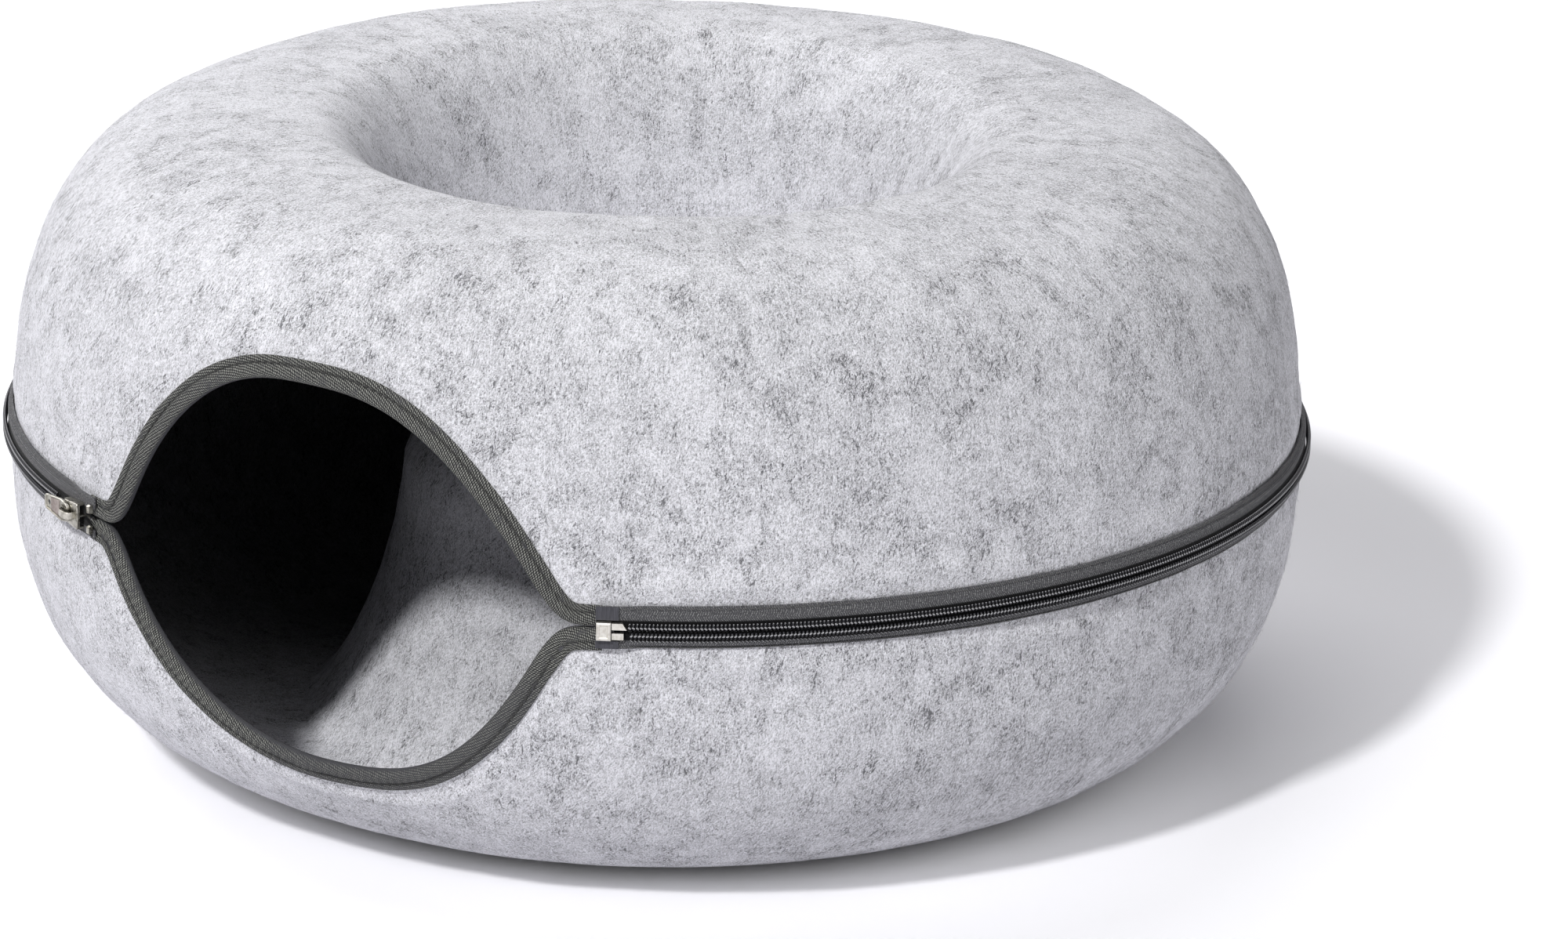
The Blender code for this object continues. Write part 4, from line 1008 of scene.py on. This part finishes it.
def build_tape(side):
    """Woven tape from the slider's slot to its sewn selvage."""
    start, end = TAPE_END["right"], unwound(TAPE_END["left"])
    count = int((end - start) / arc_angle(TAPE_STATION))
    angle = np.linspace(start, end, count)
    sewn = tape_sewn_back(angle)
    inner = np.where(angle < PIN_START, BOX_HALF_HEIGHT + GAP, SLOT_EDGE + spread(side, angle))
    travel = np.radians(angle) * WALL_RADIUS
    edge = TAPE_EDGE[side] + SELVAGE_WANDER * lump_along(travel, SELVAGE_SIZE, SELVAGE_SEED, side)
    flat, back = np.maximum(TAPE_FLAT[side], inner + TAPE_THICKNESS), np.full(count, TAPE_BACK)
    knots = ((inner, back), (flat, back), (np.full(count, TAPE_SEWN[side]), sewn), (edge, sewn))
    lifts, offsets = [], []
    for (low, low_offset), (high, high_offset) in zip(knots, knots[1:]):
        for share in np.arange(TAPE_STEPS) / TAPE_STEPS:
            lifts.append(low + (high - low) * share)
            offsets.append(low_offset + (high_offset - low_offset) * smoothstep(share))
    back_lift, back_offset = np.stack(lifts + [edge], 1), np.stack(offsets + [sewn], 1)
    face_lift = back_lift[:, ::-1]
    cord = CORD_RISE * np.sin(np.clip(np.arange(face_lift.shape[1]) / CORD_STEPS, 0, 1) * np.pi)
    dent = DENT * bump(face_lift.mean(0), TAPE_THREAD_HEIGHT[side], DENT_WIDTH)
    face_offset = back_offset[:, ::-1] + TAPE_THICKNESS + cord - dent
    lift = np.concatenate([back_lift, face_lift], 1)
    points = seam_points(side, angle[:, None], lift, np.concatenate([back_offset, face_offset], 1))
    uv = np.stack([np.broadcast_to(travel[:, None], lift.shape), lift], -1)
    piece = make_piece(SIDES[side] + "_tape", points, loft_faces(*lift.shape), TAPE,
                       BODIES[side], uv=uv)
    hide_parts(SIDES[side] + "_zip_tape")


def build_tape_stitches(side):
    inset = arc_angle(TAPE_STITCH_INSET)
    places = np.arange(FILM_END + inset, unwound(TAPE_END["left"]) - inset, arc_angle(TAPE_STITCH_PITCH))

    def at(angle, rise):
        face = tape_sewn_back(angle) + TAPE_THICKNESS
        return seam_points(side, angle, TAPE_THREAD_HEIGHT[side], face + rise)

    size = (TAPE_STITCH_LENGTH / 2, TAPE_STITCH_RADIUS, TAPE_STITCH_RADIUS)
    piece = build_row(SIDES[side] + "_tape_stitches", at, places, arc_angle(TAPE_STITCH_LENGTH / 2),
                      TAPE_STITCH_RISE, size, TAPE_STITCH_TILT, TAPE_STITCH, BODIES[side])
    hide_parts(SIDES[side] + "_tape_stitching")


# One turn of the coil: share of the pitch along the ring, lift and offset of its centre line in
# millimetres, and how much wider than round the strand is there.
COIL_TURN = ((0.0, 2.74, 3.42, 1.0), (0.05, 2.58, 3.76, 1.0), (0.11, 2.15, 3.9, 1.0),
             (0.17, 1.45, 3.9, 1.0), (0.23, 0.98, 3.88, 1.15), (0.31, 0.72, 3.66, 1.35),
             (0.42, 0.68, 3.4, 1.35), (0.53, 0.76, 3.14, 1.15), (0.62, 1.15, 3.03, 1.0),
             (0.76, 1.9, 3.01, 1.0), (0.9, 2.5, 3.1, 1.0))
COIL_PITCH, COIL_SHIFT = 0.00145, {UPPER: 0.35, LOWER: 0.85}
STRAND_RADIUS, STRAND_SIDES = 0.00033, 6
# Rows of sewing thread over the coil: name, lift, offset, half length, half width, slant.
TOP_THREAD = ("_coil_thread_a", 0.0015, 0.00425, 0.0006, 0.00034, 0.55)
COIL_THREADS = {UPPER: (TOP_THREAD, ("_coil_thread_b", 0.00285, 0.00365, 0.0003, 0.00024, 0.2)),
                LOWER: (TOP_THREAD, ("_coil_thread_b", 0.004, TAPE_FACE + 0.0001, 0.00062, 0.00018, -0.7))}
COIL_THREAD_SHIFT, COIL_THREAD_STEP, COIL_THREAD_DEPTH = 0.14, 0.0005, 0.0002


def build_coil(side):
    """One long closed helix of nylon; the two sides are half a pitch apart."""
    start, end = COIL_END["right"], unwound(COIL_END["left"])
    turns = int((end - start) / arc_angle(COIL_PITCH)) - 1
    radius = PROFILE[side].radius[0] + CHAIN_FACE
    share, lift, offset, wide = np.tile(COIL_TURN, (turns, 1)).T
    share = share + np.repeat(np.arange(turns), len(COIL_TURN))
    line = np.stack([share * COIL_PITCH + COIL_PITCH * COIL_SHIFT[side], lift / 1000, offset / 1000], 1)
    tangent = unit(np.gradient(line, axis=0))
    side_way = unit(np.cross(tangent, np.array([1.0, 0.0, 0.0])))
    along_way = np.cross(side_way, tangent)
    rings = []
    for turn in turns_round(STRAND_SIDES):
        rings.append(line + STRAND_RADIUS * (along_way * (math.cos(turn) * wide)[:, None]
                                             + side_way * math.sin(turn)))
    u, v, w = np.moveaxis(np.stack(rings, 1), -1, 0)
    angle = start + arc_angle(u, radius)
    points = seam_points(side, angle, v + spread(side, angle), w)
    piece = make_piece(SIDES[side] + "_coil_turns", points, loft_faces(len(line), STRAND_SIDES), COIL,
                       BODIES[side])
    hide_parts(SIDES[side] + "_coil")
    places = (np.arange(turns) + COIL_THREAD_SHIFT + COIL_SHIFT[side]) * COIL_PITCH
    places, step = start + arc_angle(places, radius), arc_angle(COIL_THREAD_STEP)
    for name, lift, offset, length, width, tilt in COIL_THREADS[side]:
        def at(angle, rise):
            return seam_points(side, angle, lift + spread(side, angle), offset + rise)

        build_row(SIDES[side] + name, at, places, step, 0.0, (length, width, COIL_THREAD_DEPTH),
                  -side * tilt, COIL_THREAD, BODIES[side])


def slider_point(u, v, w):
    """A point of the slider; u follows the ring, positive towards the mouth."""
    return seam_points(UPPER, unwound(SLIDER_CENTRE) + arc_angle(u), v, w)


# The cap over the slider's outer plate; its nose, lip and round end are placed by shares of its length.
CAP_COLUMNS, CAP_STATIONS = 25, (*np.linspace(0, 0.86, 12), *np.linspace(0.88, 1, 9))
CAP_RISE, CAP_THICKNESS, CAP_CROWN, CAP_LIP, CAP_END_ROUND = 0.00004, 0.0003, 0.0002, 0.00006, 0.00025
CAP_BULGE, CAP_INSET, CAP_NOSE, CAP_NOSE_RUN = 0.0009, 0.985, 0.12, 0.16
CAP_LIP_PLACE, CAP_END_START, CAP_SIDE_DROP, CAP_SIDE_POWER = (0.955, 0.035), (0.97, 0.03), 0.6, 16
# The cover on the slider's bridge stands a little off it.
CROWN_SPARE, CROWN_LENGTH_SPARE, CROWN_FOOT, CROWN_ROUND = 0.00025, 0.0001, 0.0003, 0.00028
CROWN_SQUARE, CROWN_FULL, CROWN_SIDES, CROWN_STATIONS = 0.55, 0.5, 12, 15


def build_slider_cap():
    """Crowned cap over the slider's outer plate, with a round nose and a raised lip along it."""
    rows = []
    across = np.linspace(-1, 1, CAP_COLUMNS)
    base = PLATE_FACE + CAP_RISE
    for share in CAP_STATIONS:
        nose = math.sqrt(1 - max(0.0, (CAP_NOSE - share) / CAP_NOSE_RUN) ** 2)
        half = SLIDER_HALF_HEIGHT * (1 + (SLIDER_FLARE - 1) * smoothstep(share)) * nose
        lip = CAP_LIP * bump(share, *CAP_LIP_PLACE)
        end_round = CAP_END_ROUND * ramp(share, *CAP_END_START)
        u = (share - 0.5) * SLIDER_LENGTH + CAP_BULGE * smoothstep(share) * (1 - across ** 2)
        v = across * half
        crown = CAP_CROWN * (1 - across ** 4) + lip - end_round + CAP_THICKNESS
        top = slider_point(u, v, base + crown * (1 - CAP_SIDE_DROP * np.abs(across) ** CAP_SIDE_POWER))
        bottom = slider_point(u[::-1], v[::-1] * CAP_INSET, base)
        rows.append(np.concatenate([top, bottom]))
    points, faces = strip_loft(rows)
    make_piece("slider_cap", points, faces, NICKEL, "slider")


def build_slider_crown():
    """Rounded cover on the slider's bridge."""
    reach = BRIDGE_HALF_SPAN + BRIDGE_THICKNESS + CROWN_LENGTH_SPARE
    foot = PLATE_FACE + CROWN_FOOT
    turns = turns_round(CROWN_SIDES)
    v = (BRIDGE_HALF_WIDTH + CROWN_SPARE) * np.cos(turns)
    rows = []
    for turn in np.linspace(0, np.pi, CROWN_STATIONS):
        u = -reach * math.copysign(abs(math.cos(turn)) ** CROWN_SQUARE, math.cos(turn))
        w = foot + (BRIDGE_CROWN + CROWN_SPARE - foot) * math.sin(turn) ** CROWN_FULL
        rows.append(slider_point(u, v, w + CROWN_ROUND * np.sin(turns)))
    points, faces = strip_loft(rows)
    make_piece("slider_crown", points, faces, CROWN_METAL, "slider")


def tab_points(flat, level):
    """Points of the pull tab's plane, a level off it."""
    turn = math.radians(SLIDER_CENTRE)
    along = np.array([math.cos(turn), math.sin(turn), 0.0])
    outward = np.array([math.sin(turn), -math.cos(turn), 0.0])
    origin = slider_point(0.0, 0.0, TAB_AXIS)
    return origin + along * flat[:, :1] + np.array([0.0, 0.0, 1.0]) * flat[:, 1:] + outward * level


def rounded_loop(corners, radius, steps):
    loop = []
    for index, corner in enumerate(corners):
        before, after = Vector(corners[index - 1]), Vector(corners[(index + 1) % len(corners)])
        corner = Vector(corner)
        start = corner + (before - corner).normalized() * radius
        end = corner + (after - corner).normalized() * radius
        for share in np.linspace(0, 1, steps):
            first, second = start.lerp(corner, share), corner.lerp(end, share)
            loop.append(tuple(first.lerp(second, share)))
    return np.array(loop)


def grown(loop, amount, near_share):
    """The loop moved outwards by an amount, less where it faces the slider."""
    edge = np.roll(loop, -1, 0) - np.roll(loop, 1, 0)
    away = facing(unit(np.stack([edge[:, 1], -edge[:, 0]], 1)), loop - loop.mean(0))
    share = np.where(loop[:, 0] > loop[:, 0].max() - TAB_NEAR_REACH, near_share, 1.0)
    return loop + away * (amount * share)[:, None]


# Steps of the sections round the tab's three loops in millimetres, from its back: growth, level.
RIM_STEPS = ((-0.2, -0.6), (0.0, -0.4), (0.0, 0.3), (-0.2, 0.6), (-0.55, 0.6), (-0.75, 0.05))
SLOT_STEPS = ((0.2, -0.6), (0.0, -0.4), (0.0, 0.5), (0.15, 0.66), (0.5, 0.66), (0.7, 0.05))
HOLE_STEPS = ((0.2, -0.6), (0.0, -0.4), (0.0, -0.2), (0.05, -0.05), (0.1, 0.0), (0.2, 0.05))
# Within the reach of its end at the slider a loop grows by this share only.
TAB_NEAR_REACH, RIM_NEAR, SLOT_NEAR, HOLE_NEAR = 0.0006, 0.45, 0.35, 1.0
TAB_SHOULDER, TAB_CORNER, SLOT_CORNER, HOLE_SIDES = 0.72, 0.0016, 0.0003, 20
# The panel lies this far inside the tab's outline.
PANEL_COLUMNS, PANEL_START, PANEL_END, PANEL_STEP, PANEL_INSET = 9, -0.0135, -0.0064, 0.00012, 0.00092
PANEL_LEVEL, PANEL_BACK, PANEL_RIB, PANEL_RIB_PITCH = 0.00016, 0.00006, 0.00007, 0.00072


def tab_loops():
    """The tab's outline, its slot and its hole, each with its steps and its growth towards the slider."""
    near, far, slot_end = TAB_NEAR_HALF, TAB_FAR_HALF, -TAB_SLOT_LENGTH
    shoulder = near * TAB_SHOULDER
    outline = rounded_loop([(TAB_BAR_HALF, shoulder), (TAB_BAR_HALF, -shoulder), (slot_end, -near),
                            (-TAB_LENGTH, -far), (-TAB_LENGTH, far), (slot_end, near)], TAB_CORNER, 6)
    slot = rounded_loop([(-TAB_BAR_HALF, TAB_SLOT_HALF), (-TAB_BAR_HALF, -TAB_SLOT_HALF),
                         (slot_end, -TAB_SLOT_HALF), (slot_end, TAB_SLOT_HALF)], SLOT_CORNER, 4)
    turns = turns_round(HOLE_SIDES)
    hole = np.stack([TAB_HOLE_CENTRE + TAB_HOLE_RADIUS * np.cos(turns), TAB_HOLE_RADIUS * np.sin(turns)], 1)
    return ((outline, RIM_STEPS, RIM_NEAR), (slot, SLOT_STEPS, SLOT_NEAR), (hole, HOLE_STEPS, HOLE_NEAR))


def build_tab():
    """Pull tab with a raised rim, a frame round its slot and a sunk panel."""
    points, faces, ends = [], [], []
    for loop, steps, near_share in tab_loops():
        start = len(points)
        for growth, level in steps:
            points += tab_points(grown(loop, growth / 1000, near_share), level / 1000).tolist()
        faces += grid_faces(len(steps), len(loop), start, round_columns=True)
        ends.append([(start + level * len(loop), grown(loop, steps[level][0] / 1000, near_share))
                     for level in (0, len(steps) - 1)])
    for level in zip(*ends):
        order = [start + index for start, loop in level for index in range(len(loop))]
        flat = [[Vector((*point, 0.0)) for point in loop] for start, loop in level]
        faces += [tuple(order[index] for index in face) for face in tessellate_polygon(flat)]
    piece = make_piece("pull_tab_plate", points, faces, NICKEL, "pull_tab", smooth=False)
    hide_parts("pull_tab")


def build_tab_panel():
    """Dull ribbed panel that lies in the tab's recess, between its hole and its slot."""
    rows = []
    for x in np.arange(PANEL_START, PANEL_END, PANEL_STEP):
        half = np.interp(x, (-TAB_LENGTH, -TAB_SLOT_LENGTH), (TAB_FAR_HALF, TAB_NEAR_HALF)) - PANEL_INSET
        v = np.linspace(-half, half, PANEL_COLUMNS)
        top, bottom = (np.stack([np.full(PANEL_COLUMNS, x), values], 1) for values in (v, v[::-1]))
        rib = PANEL_RIB * math.cos(2 * math.pi * x / PANEL_RIB_PITCH)
        rows.append(np.concatenate([tab_points(top, PANEL_LEVEL + rib), tab_points(bottom, PANEL_BACK)]))
    points, faces = strip_loft(rows)
    make_piece("pull_tab_panel", points, faces, PANEL, "pull_tab")


def paint(node, material):
    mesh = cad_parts[node].data
    mesh.materials.clear()
    mesh.materials.append(material)


def build_camera():
    """The photograph's camera: it looks at the ring's middle, then turns a little in its own frame."""
    height = math.radians(CAMERA_HEIGHT)
    back = Vector((0.0, -math.cos(height), math.sin(height))) * CAMERA_DISTANCE
    right, forward = Vector((1.0, 0.0, 0.0)), -back.normalized()
    axes = Matrix((right, right.cross(forward), forward))
    for angle, axis in ((-CAMERA_YAW, "Y"), (CAMERA_PITCH, "X"), (-CAMERA_ROLL, "Z")):
        axes = Matrix.Rotation(math.radians(angle), 3, axis) @ axes
    spin = Matrix.Rotation(math.radians(CAMERA_TURN), 3, "Z")
    data = bpy.data.cameras.new("camera")
    data.lens, data.sensor_width, data.sensor_fit = LENS, SENSOR, "HORIZONTAL"
    world = Matrix((spin @ axes[0], spin @ axes[1], -(spin @ axes[2]))).transposed().to_4x4()
    world.translation = spin @ back + Vector((0.0, -SETBACK, WIDEST_HEIGHT))
    camera = place_object("camera", data)
    camera.matrix_world = world
    bpy.context.scene.camera = camera


def build_lamps():
    for name, turn, height, spread_angle, strength in LAMPS:
        data = bpy.data.lights.new(name, "SUN")
        data.energy, data.angle = strength, math.radians(spread_angle)
        turn, height = math.radians(turn), math.radians(height)
        flat = math.cos(height)
        back = Vector((math.sin(turn) * flat, -math.cos(turn) * flat, math.sin(height)))
        place_object(name, data).rotation_euler = back.to_track_quat("Z", "Y").to_euler()


def build_world():
    """White to the camera and in mirrors, a plain grey sky to everything else."""
    world = bpy.data.worlds.new("studio")
    bpy.context.scene.world = world
    graph = Graph(world)
    seen = 0.0
    for ray in ("Is Transmission Ray", "Is Glossy Ray", "Is Camera Ray"):
        seen = graph.math("MAXIMUM", graph.node("LightPath", out=ray), seen)
    background = graph.tree.nodes["Background"]
    graph.plug(background.inputs["Color"], SKY_COLOUR)
    graph.plug(background.inputs["Strength"],
               graph.node("MapRange", {"Value": seen, "To Min": SKY_STRENGTH, "To Max": 1.0}))


def build_floor():
    """A plain pale floor; to the camera it glows as well, away from the object and its shadow, which leaves
    painted shadow there.
    """
    mesh = bpy.data.meshes.new("studio_floor")
    corners = ((-1, -1), (1, -1), (1, 1), (-1, 1))
    mesh.from_pydata([(FLOOR_HALF * x, FLOOR_HALF * y, 0) for x, y in corners], [], [(0, 1, 2, 3)])
    graph = material_graph("studio_floor")
    graph.tree.nodes.clear()
    place = graph.place()
    # Painted shadow: the glow fades out near the shadow's place and near the object.
    clear = graph.rise(graph.vector("DISTANCE", place, SHADOW_PLACE, out=1), *SHADOW_REACH, FLOOR_GLOW)
    beyond = graph.rise(graph.vector("LENGTH", place, out=1), *OBJECT_REACH)
    seen = graph.node("LightPath", out="Is Camera Ray")
    glow = graph.node("Emission", {"Strength": seen * (clear * beyond)})
    plain = graph.node("BsdfDiffuse", {"Color": FLOOR_COLOUR})
    graph.node("OutputMaterial", {"Surface": graph.node("AddShader", {0: plain, 1: glow})})
    mesh.materials.append(graph.owner)
    place_object("studio_floor", mesh)


for number, side in enumerate(SIDES):
    felt_outer, felt_reach = build_felt(side)
    build_fuzz(side, felt_outer, felt_reach, FUZZ_SEED + number)
    build_binding(side)
    build_binding_stitches(side)
    build_tape(side)
    build_tape_stitches(side)
    build_coil(side)
    paint(SIDES[side] + "_top_stop", NICKEL)
    paint(SIDES[side] + "_end_film", FILM)
for node in ("retainer_box", "retainer_pin", "insertion_pin"):
    paint(node, BOX_METAL)
for node in ("centre_hook_disc", "centre_loop_disc"):
    paint(node, FASTENER)
paint("slider_body", NICKEL)
build_slider_cap()
build_slider_crown()
build_tab()
build_tab_panel()
build_camera()
build_lamps()
build_world()
build_floor()
bpy.context.scene.view_settings.view_transform = "Standard"
